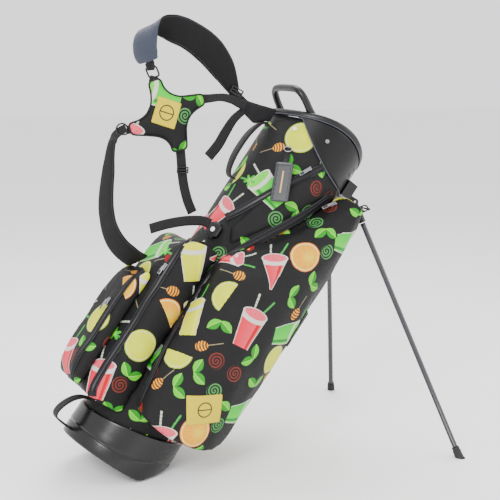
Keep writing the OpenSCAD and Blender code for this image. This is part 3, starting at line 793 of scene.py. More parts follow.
M = {
    "print": print_fabric(),
    "lining": fabric("lining", srgb(34, 33, 37), rough=0.85),
    "pad_out": fabric("pad_fabric", srgb(46, 52, 68), pitch=0.0016, rough=0.55, sheen=0.35, bump=0.0002),
    "pad_in": fabric("pad_mesh", srgb(15, 15, 17), pitch=0.0030, rough=0.9, bump=0.0006),
    "web": webbing_material("webbing", srgb(19, 18, 21)),
    "leather": leather("collar_leathercloth", srgb(9, 9, 11)),
    "moulded": plastic("moulded_black", srgb(13, 12, 15)),
    "boot": plastic("boot_plastic", srgb(12, 12, 14), rough=0.28, grain=0.00004, coat=0.08),
    "rubber": plastic("rubber", srgb(36, 35, 37), rough=0.72, grain=0.00014, scale=500.0),
    "steel": metal("polished_metal", (0.29, 0.29, 0.31), rough=0.30),
    "pin": metal("brushed_pins", (0.55, 0.55, 0.57), rough=0.34, stretch=12.0, grain=0.00008),
    "leg": plastic("anodised_leg", srgb(48, 49, 54), rough=0.28, grain=0.00003, coat=0.3),
    "rod": plastic("coated_rod", srgb(34, 34, 36), rough=0.4),
    "snap": plastic("snap_enamel", srgb(236, 236, 234), rough=0.25, coat=0.4),
    "piping": plastic("piping", srgb(62, 64, 74), rough=0.45),
    "tape": webbing_material("zip_tape", srgb(20, 19, 23)),
    "coil": plastic("zip_coil", srgb(20, 19, 22)),
    "thread": plastic("thread", srgb(84, 84, 92), rough=0.7),
    "patch": patch_material(),
    "tag": tag_material(),
}


def dress(ob, body, *replaced, look, slot=None, pad=None):
    """Gives a piece its material, the body it rides on and the CAD nodes it stands for; slot is not used."""
    ob.data.materials.clear()
    ob.data.materials.append(M[look])
    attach(ob, body)
    if replaced:
        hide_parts(*replaced)
    return ob


# ---------------------------------------------------------------- the tube of the bag
def tube_point(phi, z, r):
    return np.stack([r * np.cos(phi), r * np.sin(phi), z], 1)


def bag_skin():
    """Printed outer skin and dark lining in one closed shell."""
    nphi, nz = 128, 60
    phi = circle(nphi) - math.pi
    rows = []
    low, top = 69, rim_height(CORE_R * np.sin(phi), 15.5)
    for k in range(nz):
        z = low + (top - low) * (k / (nz - 1))
        swell = 0.35 * wave(tube_point(phi, z, CORE_R), 60.0, 3)
        rows.append(tube_point(phi, z, CORE_R + np.clip(swell, -0.6, 0.4)))
    for k in range(nz):
        rows.append(tube_point(phi, low + (top - low) * (1 - k / (nz - 1)), CORE_R - CORE_T))
    n = len(rows)
    V = np.array(rows).reshape(-1, 3)
    uv = np.stack([np.tile(phi, n) * CORE_R, V[:, 2]], 1) / 1000
    ob = mesh("bag_tube_skin", bag(V), grid_faces(n, nphi), uv, period=TAU * CORE_R / 1000)
    dress(ob, "bag", "core_tube", look="print")
    ob.data.materials.append(M["lining"])
    q = unbag(coords(ob))
    for p in ob.data.polygons:
        c = q[list(p.vertices)].mean(0)
        if math.hypot(c[0], c[1]) < CORE_R - 1.2:
            p.material_index = 1
    return ob


skin = bag_skin()


# ---------------------------------------------------------------- collar, rim and top handle
def collar_low(phi):
    """Height of the collar's lower edge, a circle in side view."""
    return EDGE_Z - np.sqrt(EDGE_R ** 2 - (COLLAR_R * np.cos(phi) - EDGE_X) ** 2)


def collar():
    """The moulded cover round the mouth, open on the spine side, with piping along its lower edge."""
    nphi, ns, limit = 140, 22, 2.53
    phi = np.linspace(-limit, limit, nphi)
    top = rim_height(COLLAR_R * np.sin(phi), 14.2)
    low = np.minimum(collar_low(phi), top - 2.0)
    prof = []
    for k in range(ns):
        f = k / (ns - 1)
        prof.append((f, 1.0 - 0.75 * max(0.0, 1 - f * 26) ** 2 - 0.5 * max(0.0, 1 - (1 - f) * 26) ** 2))
    prof += [(1 - k / 5, 0.0) for k in range(6)]
    rows = []
    for f, h in prof:
        z = low + (top - low) * f
        r = CORE_R + 0.5 + (COLLAR_R - CORE_R - 0.4) * h
        p = tube_point(phi, z, r)
        if h > 0.5:
            p[:, :2] *= (1 + 0.0016 * wave(p, 34.0, 8) * h)[:, None]
        rows.append(p)
    n = len(rows)
    V = np.array(rows).reshape(-1, 3)
    F = grid_faces(n, nphi, True, False)
    F += [tuple(i * nphi for i in range(n)), tuple(i * nphi + nphi - 1 for i in reversed(range(n)))]
    uv = np.stack([np.tile(phi, n) * COLLAR_R, V[:, 2]], 1) / 1000
    dress(mesh("collar_cover", bag(V), F, uv), "bag", "collar", look="leather")
    pipe = tube("collar_piping", bag(tube_point(phi, low - 1.0, CORE_R + 1.6)), 0.0017, up=BAG_UP)
    dress(pipe, "bag", look="piping")


collar()


def rim_lip():
    phi = circle(160) - math.pi
    c = tube_point(phi, rim_height(115 * np.sin(phi), 7.2), 110.3)
    out = np.array([bag_dir((math.cos(a), math.sin(a), 0)) for a in phi])
    ob = loft("rim_lip_soft", bag(c), out * 0.0048, np.tile(BAG_UP, (len(phi), 1)) * 0.0069,
              superellipse(16, 3.2), closed=True)
    dress(ob, "bag", "rim_lip", look="moulded")
    seam = bag(tube_point(phi, rim_height(115 * np.sin(phi), 13.6), COLLAR_R + 0.6))
    dress(tube("rim_seam_cord", seam, 0.0011, closed=True, up=BAG_UP), "bag", look="piping")


rim_lip()


def top_handle():
    half_arch = [(-9, -69), (4, -68), (22, -67), (38, -62), (48, -52), (52, -38)]
    arch = half_arch + [(53, 0)] + [(t, -y) for t, y in half_arch[::-1]]
    p = catmull(bag([(-80 - 0.883 * t, y, 851 + 0.469 * t) for t, y in arch]), 72)
    t = unit(np.gradient(p, axis=0))
    face = np.broadcast_to(bag_dir((0.469, 0, 0.883)), p.shape)
    w = unit(np.cross(t, face))
    f = np.abs(np.linspace(-1, 1, len(p)))
    half = 0.0072 + 0.004 * np.clip((f - 0.78) / 0.22, 0, 1) ** 2
    ob = loft("top_handle_grip", p, w * half[:, None], unit(np.cross(w, t)) * 0.0074, superellipse(16, 2.5))
    dress(ob, "bag", "top_handle", look="moulded")


top_handle()


# ---------------------------------------------------------------- boot
def boot():
    """Hollow base shell cut flat by the ground, with a groove round it, a floor and the hinge lugs."""
    nphi = 144
    phi = circle(nphi) - math.pi
    x = BOOT_R * np.cos(phi)
    top = BOOT_MID + BOOT_SLANT * x
    ground = SIN / COS * (x - FOOT_HINGE[0]) + FOOT_HINGE[1] - (HINGE[1] - 2) / COS
    low = np.log(np.exp(ground / 3.0) + np.exp(0.6 / 3.0)) * 3.0
    groove = 30 + 28 / (1 + np.exp(-(x - 18) / 17.0))
    rows = []

    def ring(z, r):
        rows.append(tube_point(phi, z, r))

    inner = BOOT_R - BOOT_WALL
    for f in (0.98, 0.7, 0.35, 0.03):
        ring(low + 6 + (top - low - 6) * f, inner)
    ring(low + 1.2, inner + 1.2)
    for a in np.linspace(0, math.pi / 2, 6):
        ring(low + 4.5 * (1 - math.cos(a)), BOOT_R - 4.5 + 4.5 * math.sin(a))
    z0 = low + 5.5
    ring(z0 + (groove - 5 - z0) * 0.5, BOOT_R)
    for d, r in ((-5.0, 0.0), (-2.4, -0.2), (-1.1, -1.3), (0, -1.8), (1.1, -1.3), (2.4, 0.1), (5.5, 0.3)):
        ring(np.maximum(groove + d, z0 + 6 + d), BOOT_R + r)
    g = np.maximum(groove, z0 + 6)
    for f in (0.25, 0.5, 0.75):
        ring(g + 6 + (top - 6 - g - 6) * f, BOOT_R - 0.4 * f)
    ring(top - 5, BOOT_R - 0.5)
    for a in np.linspace(0, math.pi / 2, 5):
        ring(top - 3.2 + 3.2 * math.sin(a), BOOT_R - 0.5 - 3.2 * (1 - math.cos(a)))
    n = len(rows)
    V = np.array(rows).reshape(-1, 3)
    uv = np.stack([np.tile(phi, n) * BOOT_R, V[:, 2]], 1) / 1000
    ob = mesh("boot_shell", above_ground(bag(V)), grid_faces(n, nphi), uv, period=TAU * BOOT_R / 1000)
    dress(ob, "bag", "base_boot", look="boot")
    # floor of the boot on the strap side, up to the foot's hinge
    a = np.linspace(math.acos(20 / 112.0), TAU - math.acos(20 / 112.0), 60)
    o = np.stack([111.5 * np.cos(a), 111.5 * np.sin(a)], 1)
    floor = panel("boot_floor", round_outline(o, 3.0, 2),
                  lambda q, h: bag(np.column_stack([q, np.where(h > -1, 1.0, 6.0)])),
                  lambda d, q: 0 * d, 9.0, thick=2.0)
    dress(floor, "bag", look="boot")
    for s in (-1, 1):
        ends = bag([(FOOT_HINGE[0], s * y, FOOT_HINGE[1]) for y in (52, 80)])
        lug = tube(f"boot_lug_{'near' if s < 0 else 'far'}", ends, 0.007, n=8, sides=24)
        dress(lug, "bag", look="boot")


boot()


def boot_handle():
    p = bag([(-114, 0, 89), (-134, 0, 81.5), (-149.5, 0, 66), (-160, 0, 44), (-161, 0, 27), (-150, 0, 19),
             (-114, 0, 14.5)])
    ob = strap("boot_handle_loop", p, 0.031, 0.0036, -BAG_FRONT, n=44)
    dress(ob, "bag", "boot_handle", look="web")


boot_handle()


# ---------------------------------------------------------------- stuffed pockets
def side_outline(side):
    o = np.array([(70, -69), (146, -69), (159, -96), (141, -126), (110, -158), (58, -SIDE_REACH),
                  (-2, -SIDE_REACH),
                  (-50, -160), (-88, -118), (-70, -60)], float)
    return o * [1, -side]


def soft_block(name, node, outline, voxel, smooth, swell, seed, side=0):
    """A stuffed pocket from its CAD solid: remeshed, rounded, blown up by at most swell m by a cloth run,
    then mapped round its outline so that the print wraps it without a break."""
    ob = link(name, NODES[node].data.copy())
    modifier(ob, "REMESH", mode="VOXEL", voxel_size=voxel)
    modifier(ob, "SMOOTH", factor=0.5, iterations=smooth)
    apply_modifiers(ob)
    rest = coords(ob)
    before = ob.data.attributes.new("before", "FLOAT_VECTOR", "POINT").data
    before.foreach_set("vector", rest.ravel())
    inflate(ob)
    step = coords(ob) - rest
    size = np.linalg.norm(step, axis=1, keepdims=True)
    rest = rest + step * np.minimum(1, swell / np.maximum(size, 1e-9))
    q = unbag(rest)
    radial = np.hypot(q[:, 0], q[:, 1])
    tangent = wave(q, 26.0, seed) * 1.5 + wave(q, 10.0, seed + 1) * 0.45
    outer = np.clip((radial - CORE_R - 4) / 12, 0, 1)
    q[:, :2] *= (1 + outer * tangent / radial)[:, None]
    # never into the tube
    radial = np.hypot(q[:, 0], q[:, 1])
    q[:, :2] *= np.maximum(1, (CORE_R + 0.4) / radial)[:, None]
    set_coords(ob, bag(q))
    modifier(ob, "SUBSURF", levels=1, render_levels=1)
    apply_modifiers(ob)
    flat = np.empty(len(ob.data.vertices) * 3)
    ob.data.attributes["before"].data.foreach_get("vector", flat)
    wrap_uv(ob, unbag(flat.reshape(-1, 3)), outline, side)
    for p in ob.data.polygons:
        p.use_smooth = True
    return ob


def wrap_uv(ob, q, outline, side=0):
    """u runs along the pocket's plan outline and v up the bag, carried on over the top and bottom.
    On a side pocket the face that slopes up from the diagonal zip is laid flat beside the front."""
    o = np.asarray(outline, float)
    start = lengths(o)
    best, u = np.full(len(q), 1e9), np.zeros(len(q))
    for i, (a, b) in enumerate(zip(o[:-1], o[1:])):
        ab = b - a
        t = np.clip(((q[:, :2] - a) @ ab) / (ab @ ab), 0, 1)
        d = np.linalg.norm(q[:, :2] - (a + t[:, None] * ab), axis=1)
        hit = d < best
        best[hit], u[hit] = d[hit], start[i] + t[hit] * (start[i + 1] - start[i])
    lo, hi = q[:, 2].min(), q[:, 2].max()
    sign = np.where(q[:, 2] > (lo + hi) / 2, 1.0, -1.0)
    v = q[:, 2] + sign * np.maximum(best - 9.0, 0) * 0.9
    if side:
        turn, corner = rot("Y", SLOPE_LEAN), SLOPE_AT
        cos_turn, sin_turn = math.cos(math.radians(SLOPE_TURN)), math.sin(math.radians(SLOPE_TURN))
        local = (q * [1, -side, 1] - corner) @ (turn @ rot("Z", -SLOPE_TURN))
        front = np.abs(o[3:9][::-1])
        fx = o[3:9][::-1, 0]
        # where the slope meets the front, for each height along the zip
        crease = np.full(len(q), 110.0)
        for k in np.arange(108.0, 0.0, -2.0):
            x = corner[0] + turn[0, 0] * cos_turn * k + turn[0, 2] * local[:, 2]
            crease[111 + sin_turn * k >= np.interp(x, fx, front[:, 1])] = k
        on = (np.abs(local[:, 1]) < 3.2) & (local[:, 0] > -3) & (local[:, 0] < crease) & (local[:, 2] > -30)
        flat = np.stack([local[:, 0] - (1 - cos_turn) * crease, 0 * u, local[:, 2]], 1) @ turn.T
        flat += corner * [1, 0, 1]
        arc = np.interp(flat[:, 0], fx, start[3:9][::-1]) - np.maximum(flat[:, 0] - fx[-1], 0)
        u[on], v[on] = arc[on], flat[on, 2]
    set_uv(ob, np.stack([u, v], 1) / 1000)


def inflate(ob):
    """A short cloth run with inner pressure and no gravity."""
    m = modifier(ob, "CLOTH")
    s = m.settings
    s.quality = 4
    s.mass = 0.3
    s.use_pressure = True
    s.uniform_pressure_force = 3.5
    s.tension_stiffness = s.compression_stiffness = 18
    s.shear_stiffness = 8
    s.bending_stiffness = 0.8
    s.effector_weights.gravity = 0.0
    m.point_cache.frame_start, m.point_cache.frame_end = 1, 10
    for f in range(1, 11):
        SCENE.frame_set(f)
    apply_modifiers(ob)
    SCENE.frame_set(1)


UPPER_OUTLINE = [(-60, -86), (-120, -86), (-152, -78), (-170, -52), (-170, 52), (-152, 78), (-120, 86), (-60,
                                                                                                         86)]
LOWER_OUTLINE = [(-168, -58), (-190, -56), (-208, -38), (-208, 38), (-190, 56), (-168, 58)]
# node, fill, then plan outline, voxel (m), smoothing passes, most swell (m), wrinkle seed and side
POCKET = {}
for node, pad, *how in (("side_pocket_near", 0.7, side_outline(-1), 0.0075, 9, 0.006, 20, -1),
                        ("side_pocket_far", 0.7, side_outline(1), 0.0075, 9, 0.006, 22, 1),
                        ("ball_pocket_upper", 0.75, UPPER_OUTLINE, 0.007, 7, 0.004, 31),
                        ("ball_pocket_lower", 0.75, LOWER_OUTLINE, 0.006, 5, 0.003, 41)):
    POCKET[node] = dress(soft_block(node + "_soft", node, *how), "bag", node, look="print", pad=pad)


def on_tube(r0):
    """Places flat points (u round the tube in mm from the leg side, z) at r0 + h."""
    return lambda q, h: bag(tube_point(q[:, 0] / CORE_R, q[:, 1], r0 + h))


def around(points):
    """Side-view points (x, z) on the near side as (u, z) on the unrolled tube."""
    p = np.asarray(points, float)
    return np.stack([-np.arccos(np.clip(p[:, 0] / (CORE_R + 2), -0.999, 0.999)) * CORE_R, p[:, 1]], 1)


SLIP_OUTLINE = round_outline(around([(-14, 736), (8, 727), (38, 710), (14, 668), (-20, 610), (-60, 543),
                                     (-76, 514), (-88, 547), (-78, 600), (-66, 646), (-40, 692)]), 9)
slip = panel("slip_pocket_soft", SLIP_OUTLINE, on_tube(CORE_R + 0.9),
             lambda d, q: 4.6 * (1 - np.exp(-d / 7.0)) + 0.5 * wave(lifted(q), 22.0, 5), 6.0, thick=0.4)
dress(slip, "bag", "slip_pocket", look="print", pad=0.4)


# ---------------------------------------------------------------- zips
SURFACE = {"near": bvh_of(POCKET["side_pocket_near"], skin), "far": bvh_of(POCKET["side_pocket_far"], skin),
           "ball": bvh_of(POCKET["ball_pocket_upper"], POCKET["ball_pocket_lower"], skin)}


def settle(points, tree, lift):
    """Drops bag-frame points onto a surface along the line to the bag's axis.
    Returns row-frame points and normals."""
    start, reach = 60.0, 0.13
    out, nor = [], []
    for p in np.asarray(points, float):
        d = np.array([p[0], p[1], 0]) / math.hypot(p[0], p[1])
        away = bag_dir(d)
        hit, nrm, _, _ = tree.ray_cast(Vector(bag(p + d * start)[0]), Vector(-away), reach)
        if hit is None:
            hit, nrm = bag(p)[0], away
        nrm = np.array(nrm)
        if nrm @ away < 0:
            nrm = -nrm
        out.append(np.array(hit) + nrm * lift / 1000)
        nor.append(nrm)
    return np.array(out), unit(np.array(nor))


def smooth_rows(a, times):
    a = a.copy()
    for _ in range(times):
        a[1:-1] = (a[:-2] + 2 * a[1:-1] + a[2:]) / 4
    return a


def at(s, run, p):
    """The row of p that lies s along a line whose lengths are run."""
    return np.array([np.interp(s, run, column) for column in p.T])


def stitches(name, path, normal):
    """A row of thread stitches along a path, as little capsules lying on the surface."""
    pitch, length, r = 0.0042, 0.0027, 0.00032
    run, nn = lengths(path), unit(normal)
    ring = [(math.cos(a), math.sin(a)) for a in circle(6)]
    V, F = [], []
    for s in np.arange(pitch / 2, run[-1] - length, pitch):
        a, b, n = at(s, run, path), at(s + length, run, path), unit(at(s, run, nn))
        w = np.cross(unit(b - a), n)
        k = len(V)
        for c, f in ((a, 0.25), (a * 0.8 + b * 0.2, 1.0), (a * 0.2 + b * 0.8, 1.0), (b, 0.25)):
            V += [c + n * r * 0.3 + (w * x + n * y) * r * f for x, y in ring]
        F += [tuple(k + i for i in f) for f in grid_faces(4, 6, False)]
        F += [tuple(k + j for j in range(6))[::-1], tuple(k + 18 + j for j in range(6))]
    dress(mesh(name, V, F), "bag", look="thread")


BOX = ((0, 1, 3, 2), (4, 6, 7, 5), (0, 4, 5, 1), (2, 3, 7, 6), (0, 2, 6, 4), (1, 5, 7, 3))


def zip_line(name, points, tree, width=20.0):
    """Zip: a woven tape on the surface with a raised coil of interlocking teeth along its middle."""
    p, nn = settle(catmull(points, 80), tree, 0.9)
    p, nn = smooth_rows(p, 6), unit(smooth_rows(nn, 10))
    t = unit(np.gradient(p, axis=0))
    w = unit(np.cross(t, nn))
    nn = np.cross(w, t)
    half = width / 2000
    tape = loft(name + "_tape", p, w * half, nn * 0.0008, strap_profile(9, 0.3))
    dress(tape, "bag", name, look="tape")
    for k, f in enumerate((-0.84, 0.84)):
        stitches(f"{name}_stitch_{k + 1}", p + w * f * half + nn * 0.0007, nn)
    for k, i in enumerate((1, len(p) - 2)):
        across = [p[i] + w[i] * f * half + nn[i] * 0.0014 for f in (-1.06, -0.5, 0.0, 0.5, 1.06)]
        end = strap(f"{name}_end_{k + 1}", across, 0.009, 0.0018, nn[i], n=12)
        dress(end, "bag", look="web", slot="zip_tape")
    coil = loft(name + "_coil", p + nn * 0.0012, w * 0.0031, nn * 0.0012, superellipse(10, 2.2))
    dress(coil, "bag", look="coil")
    run = lengths(p)
    V, F = [], []
    for k, s in enumerate(np.arange(0.002, run[-1] - 0.002, 0.0021)):
        ti, wi = unit(at(s, run, t)), unit(at(s, run, w))
        ni = np.cross(wi, ti)
        c = at(s, run, p) + wi * (0.0008 if k % 2 else -0.0008) + ni * 0.0023
        b = len(V)
        V += [c + wi * x * 0.0019 + ti * y * 0.00055 + ni * z * 0.0005
              for x in (-1, 1) for y in (-1, 1) for z in (-1, 1)]
        F += [tuple(b + i for i in f) for f in BOX]
    dress(mesh(name + "_teeth", V, F, smooth=False), "bag", look="coil")


def zips():
    side = [(70, -112, 732), (40, -112, 688), (12, -112, 640), (-24, -112, 578), (-61, -110, 516), (-79,
                                                                                                    -100,
                                                                                                    478),
            (-86, -95, 432), (-85, -95, 380), (-82, -98, 312), (-74, -102, 235), (-66, -106, 170), (-62,
                                                                                                    -108,
                                                                                                    134)]
    zip_line("zip_side_near", side, SURFACE["near"])
    zip_line("zip_side_far", [(x, -y, z) for x, y, z in side], SURFACE["far"])
    zip_line("zip_slip", [(-3, -112, 764), (-24, -110, 728), (-56, -97, 672), (-84, -74, 606),
                          (-100, -50, 562)],
             SURFACE["near"], 18.0)
    zip_line("zip_ball_upper", [(-150, -40, 487), (-166, -66, 470), (-164, -70, 440), (-162, -70, 380),
                                (-162, -70, 300), (-160, -72, 200), (-158, -72, 140), (-152, -74, 115),
                                (-146, -76, 101)], SURFACE["ball"], 17.0)
    zip_line("zip_ball_lower", [(-196, 0, 372), (-204, -34, 366), (-206, -42, 340), (-206, -42, 240),
                                (-206, -42, 160), (-202, -40, 124), (-196, -30, 106)], SURFACE["ball"], 15.0)


zips()


# ---------------------------------------------------------------- carrying harness (row frame, mm in x, y, z)
def mm(p):
    return np.asarray(p, float) / 1000


def pad_thickness(full, n, taper):
    """Half thickness of a pad at its n stations, thinner over the first and last few."""
    i = np.arange(n)
    return (full * np.clip(np.minimum(i, n - 1 - i) / taper, 0.3, 1) ** 0.5)[:, None]


def shoulder_pads():
    # centre (3), half width (3), outer normal hint (3)
    s = catmull([(227, -8, 790, 11, 0, 6, 0, 1, 0), (214, -8, 815, 18, 0, 12, 0, 1, 0),
                 (198, -8, 842, 23, 0, 18, 0, 1, 0), (167, -8, 879, 23, 0, 24, 0, 1, 0.1),
                 (125, -8, 907, 14, 0, 28, -0.1, 1, 0.2), (86, -9, 921, 6, -6, 27, -0.3, 0.9, 0.5),
                 (58, -12, 926, -4, -20, 19, -0.6, 0.6, 0.7), (38, -17, 922, 8, -26, 6, -0.8, 0.1, 0.7),
                 (25, -22, 908, 15, -23, 0, -0.85, -0.45, 0.3), (19, -26, 888, 18, -21, -1, -0.78, -0.62,
                                                                 0.1),
                 (21, -26, 868, 18, -20, 4, -0.76, -0.65, 0.0), (27, -26, 853, 15, -17, 4, -0.72, -0.66,
                                                                 -0.1)], 90)
    c, w, hint = s[:, :3], s[:, 3:6], s[:, 6:9]
    t = unit(np.gradient(c, axis=0))
    w = w - (w * t).sum(1)[:, None] * t
    nrm = unit(np.cross(t, w))
    nrm *= np.sign((nrm * hint).sum(1))[:, None]
    thick = pad_thickness(5.2, 90, 5.0)
    body = loft("shoulder_pad_upper_soft", mm(c), mm(w), mm(nrm * thick), pad_profile())
    pad_finish(body, "shoulder_pad_upper", nrm, c)
    for k, f in enumerate((-0.88, 0.88)):
        for m, side in enumerate((1, -1)):
            line = mm(c + w * f + nrm * side * thick * 0.42)
            stitches(f"pad_upper_stitch_{k * 2 + m + 1}", line, nrm * side)
    s = catmull([(-34, 19, 706), (-41, 19, 680), (-48, 19, 632), (-54, 19, 580), (-54, 19, 545),
                 (-47, 19, 512),
                 (-33, 19, 482), (-10, 19, 456), (14, 19, 438)], 70)
    t = unit(np.gradient(s, axis=0))
    lean = np.interp(np.linspace(0, 1, 70), [0, 0.35, 0.6, 0.85, 1], [0, -3, -5, -12, -14])
    w = np.stack([lean, spread([16, 24, 33, 36.5, 37, 37, 36.5, 34, 30], 70), lean], 1)
    w = w - (w * t).sum(1)[:, None] * t * 0.6
    nrm = unit(np.cross(w, t))
    thick = pad_thickness(4.8, 70, 4.0)
    body = loft("shoulder_pad_lower_soft", mm(s), mm(w), mm(nrm * thick), pad_profile())
    pad_finish(body, "shoulder_pad_lower", -nrm, s)
    for k, f in enumerate((-0.88, 0.88)):
        stitches(f"pad_lower_stitch_{k + 1}", mm(s + w * f + nrm * thick * 0.42), nrm)


def pad_finish(ob, node, outer, centre):
    """Crowned foam with smooth cloth outside and open mesh inside, and small creases where it bends."""
    co = coords(ob)
    q = co * 1000
    n = np.array([v.normal for v in ob.data.vertices])
    set_coords(ob, co + n * (0.35 * wave(q, 13.0, 12) + 0.15 * wave(q, 5.0, 13))[:, None] / 1000)
    modifier(ob, "SUBSURF", levels=1, render_levels=1)
    apply_modifiers(ob)
    dress(ob, "bag", node, look="pad_out", pad=0.8)
    ob.data.materials.append(M["pad_in"])
    co = coords(ob) * 1000
    for p in ob.data.polygons:
        i = int(np.argmin(((centre - co[p.vertices[0]]) ** 2).sum(1)))
        if np.array(p.normal) @ outer[i] < 0.05:
            p.material_index = 1


shoulder_pads()


def upright(c, y):
    """Flat points (x, z) in mm standing in the row frame at y."""
    return np.column_stack([c[:, 0], y + 0 * c[:, 0], c[:, 1]]) / 1000


def flat_xz(y0):
    """Places flat points at y0, raised towards the camera by h."""
    return lambda q, h: upright(q, y0 - h)


def cross_pad():
    o = round_outline([(24, 813), (50, 821), (57, 802), (72, 789), (92, 783), (145, 788), (149, 767),
                       (128, 756),
                       (113, 742), (106, 722), (108, 676), (76, 670), (72, 684), (62, 696), (46, 703), (20,
                                                                                                        706),
                       (-14, 708), (-20, 731), (2, 736), (20, 748), (30, 768), (30, 790)], 9)
    pad = panel("cross_pad_soft", o, flat_xz(-28.6),
                lambda d, q: 4.6 * (1 - np.exp(-d / 5.0)) + 0.25 * wave(lifted(q), 12.0, 9), 5.0, thick=4.0)
    for loop_uv in pad.data.uv_layers["UVMap"].data:
        loop_uv.uv += Vector((0.120, 0.2935))
    dress(pad, "bag", "cross_pad", look="print", pad=0.6)
    binding = tube("cross_pad_binding", upright(o, -29.0), 0.0019, closed=True, up=(0, 1, 0))
    dress(binding, "bag", look="web")


cross_pad()


def rectangle(x0, z0, x1, z1, r, k=5):
    return round_outline([(x0, z0), (x1, z0), (x1, z1), (x0, z1)], r, k)


def patch(name, node, place, x, z):
    """Sewn patch of 2x by 2z mm with a raised rim."""
    ob = panel(name, rectangle(-x, -z, x, z, 3), place,
               lambda d, q: 0.9 * (1 - np.exp(-d / 1.2)) + 0.5 * np.exp(-((d - 1.5) / 1.0) ** 2), 3.0,
               thick=0.5)
    dress(ob, "bag", node, look="patch")


def cross_place(q, h):
    x, z = turn_flat(q, math.radians(-18))
    return np.column_stack([61 + x, -34.0 - h, 751 + z]) / 1000


def badge_place(q, h):
    """The badge lies on the near side pocket, upright in the world, and follows its crown."""
    x, z = turn_flat(q, LEAN - math.radians(4))
    p = []
    for v, raised in zip(np.column_stack([28 + x, np.full(len(q), -SIDE_REACH), 200 + z]), h):
        hit, _, _, _ = SURFACE["near"].ray_cast(Vector(bag((v[0], -260, v[2]))[0]), Vector((0, 1, 0)), 0.2)
        hit = np.array(hit) if hit is not None else bag(v)[0]
        p.append(hit - np.array([0, raised + 0.8, 0]) / 1000)
    return np.array(p)


patch("cross_patch_badge", "cross_patch", cross_place, 26.5, 27.5)
patch("side_badge", "badge_patch", badge_place, 38, 30)

# straps of flat webbing
FRONT = (0, -1, 0)
for name, node, width, thick, points in (
        ("webbing_upper_strap", "webbing_upper", [0.021, 0.018, 0.016, 0.018, 0.020, 0.020], 0.0024,
         [(136, -20.5, 777), (160, -20.5, 778), (190, -20.5, 780), (215, -20.5, 775), (236, -17, 766),
          (252, -12, 760)]),
        ("webbing_lower_strap", "webbing_lower", 0.021, 0.0024,
         [(94, -21.5, 690), (97, -21.5, 660), (101, -21.5, 610), (110, -21.5, 570), (121, -23, 541)]),
        ("strap_tail_upper_end", "strap_tail_upper", [0.016, 0.019, 0.022, 0.023, 0.023], 0.0022,
         [(250, -6, 752), (226, -6, 733), (206, -6, 706), (189, -6, 680), (166, -6, 655)]),
        ("strap_tail_lower_end", "strap_tail_lower", 0.021, 0.0024,
         [(18, -42.5, 516), (52, -42.5, 523), (88, -42.5, 527), (118, -42.5, 527), (140, -42.5, 524),
          (152, -45, 518)])):
    dress(strap(name, mm(points), width, thick, FRONT), "bag", node, look="web")


def anchor():
    """Gathered webbing from the upper pad to the collar, with its branch down to the spine."""
    o = round_outline([(207, 799), (229, 811), (243, 788), (262, 771), (292, 762), (330, 752), (350, 722),
                       (303, 727), (276, 722), (262, 735), (244, 752), (226, 776)], 6)
    ob = panel("webbing_anchor_strap", o, flat_xz(-0.2),
               lambda d, q: 1.4 * (1 - np.exp(-d / 2.0)) + 0.5 * wave(lifted(q), 7.0, 4), 5.0, thick=1.2)
    q = unbag(coords(ob))
    r = np.hypot(q[:, 0], q[:, 1])
    push = r < COLLAR_R + 1.6
    q[push, :2] *= ((COLLAR_R + 1.6) / r[push])[:, None]
    set_coords(ob, bag(q))
    dress(ob, "bag", "webbing_anchor", look="web")


anchor()


def grab_handle():
    p = bag([(-113, 0, 783), (-122, 0, 787), (-133, 0, 774), (-142, 0, 740), (-142.5, 0, 692), (-135, 0, 658),
             (-125, 0, 646), (-113, 0, 647)])
    ob = strap("grab_handle_loop", p, [0.024, 0.024, 0.026, 0.026, 0.026, 0.024, 0.024],
               [0.003, 0.005, 0.0075, 0.008, 0.008, 0.0075, 0.005, 0.003], -BAG_FRONT, n=60,
               profile=superellipse(16, 3.0))
    dress(ob, "bag", "grab_handle", look="web", pad=0.9)


grab_handle()


def harness_rings():
    """Sewn tabs and the two rings that join the harness to its pads."""
    for label, hint, wide, pts in (
            ("pad", (-0.75, -0.65, 0), 0.019, [(27, -25, 862), (31, -24, 850), (33, -21.5, 842),
                                               (30, -19, 852)]),
            ("cross", FRONT, 0.019, [(37, -27, 806), (39, -25, 816), (41, -21.5, 823.5), (38, -19, 812)]),
            ("lower", (-0.6, -0.8, 0), 0.017, [(-24, -27, 722), (-34, -20, 716), (-42, -10, 706),
                                               (-40, 8, 694)]),
            ("side", FRONT, 0.017, [(-4, -27, 719), (-14, -24, 718.5), (-19.5, -21.5, 718),
                                    (-12, -19, 718)])):
        dress(strap(f"harness_tab_{label}", mm(pts), wide, 0.0022, hint, n=20), "bag", look="web")
    upper = round_outline([(21, 841), (43.5, 845.5), (52, 825.5), (30, 820.5)], 6, 6)
    ring = tube("harness_ring_upper", upright(upper, -22.0), 0.0019, sides=10, closed=True, up=(0, 1, 0))
    dress(ring, "bag", "harness_rings", look="moulded")
    a = circle(28)
    lower = np.stack([-31 + 12.5 * np.cos(a), np.maximum(718 + 13 * np.sin(a), 709)], 1)
    ring = tube("harness_ring_lower", upright(lower, -22.0), 0.0017, sides=10, closed=True, up=(0, 1, 0))
    dress(ring, "bag", look="moulded")


harness_rings()


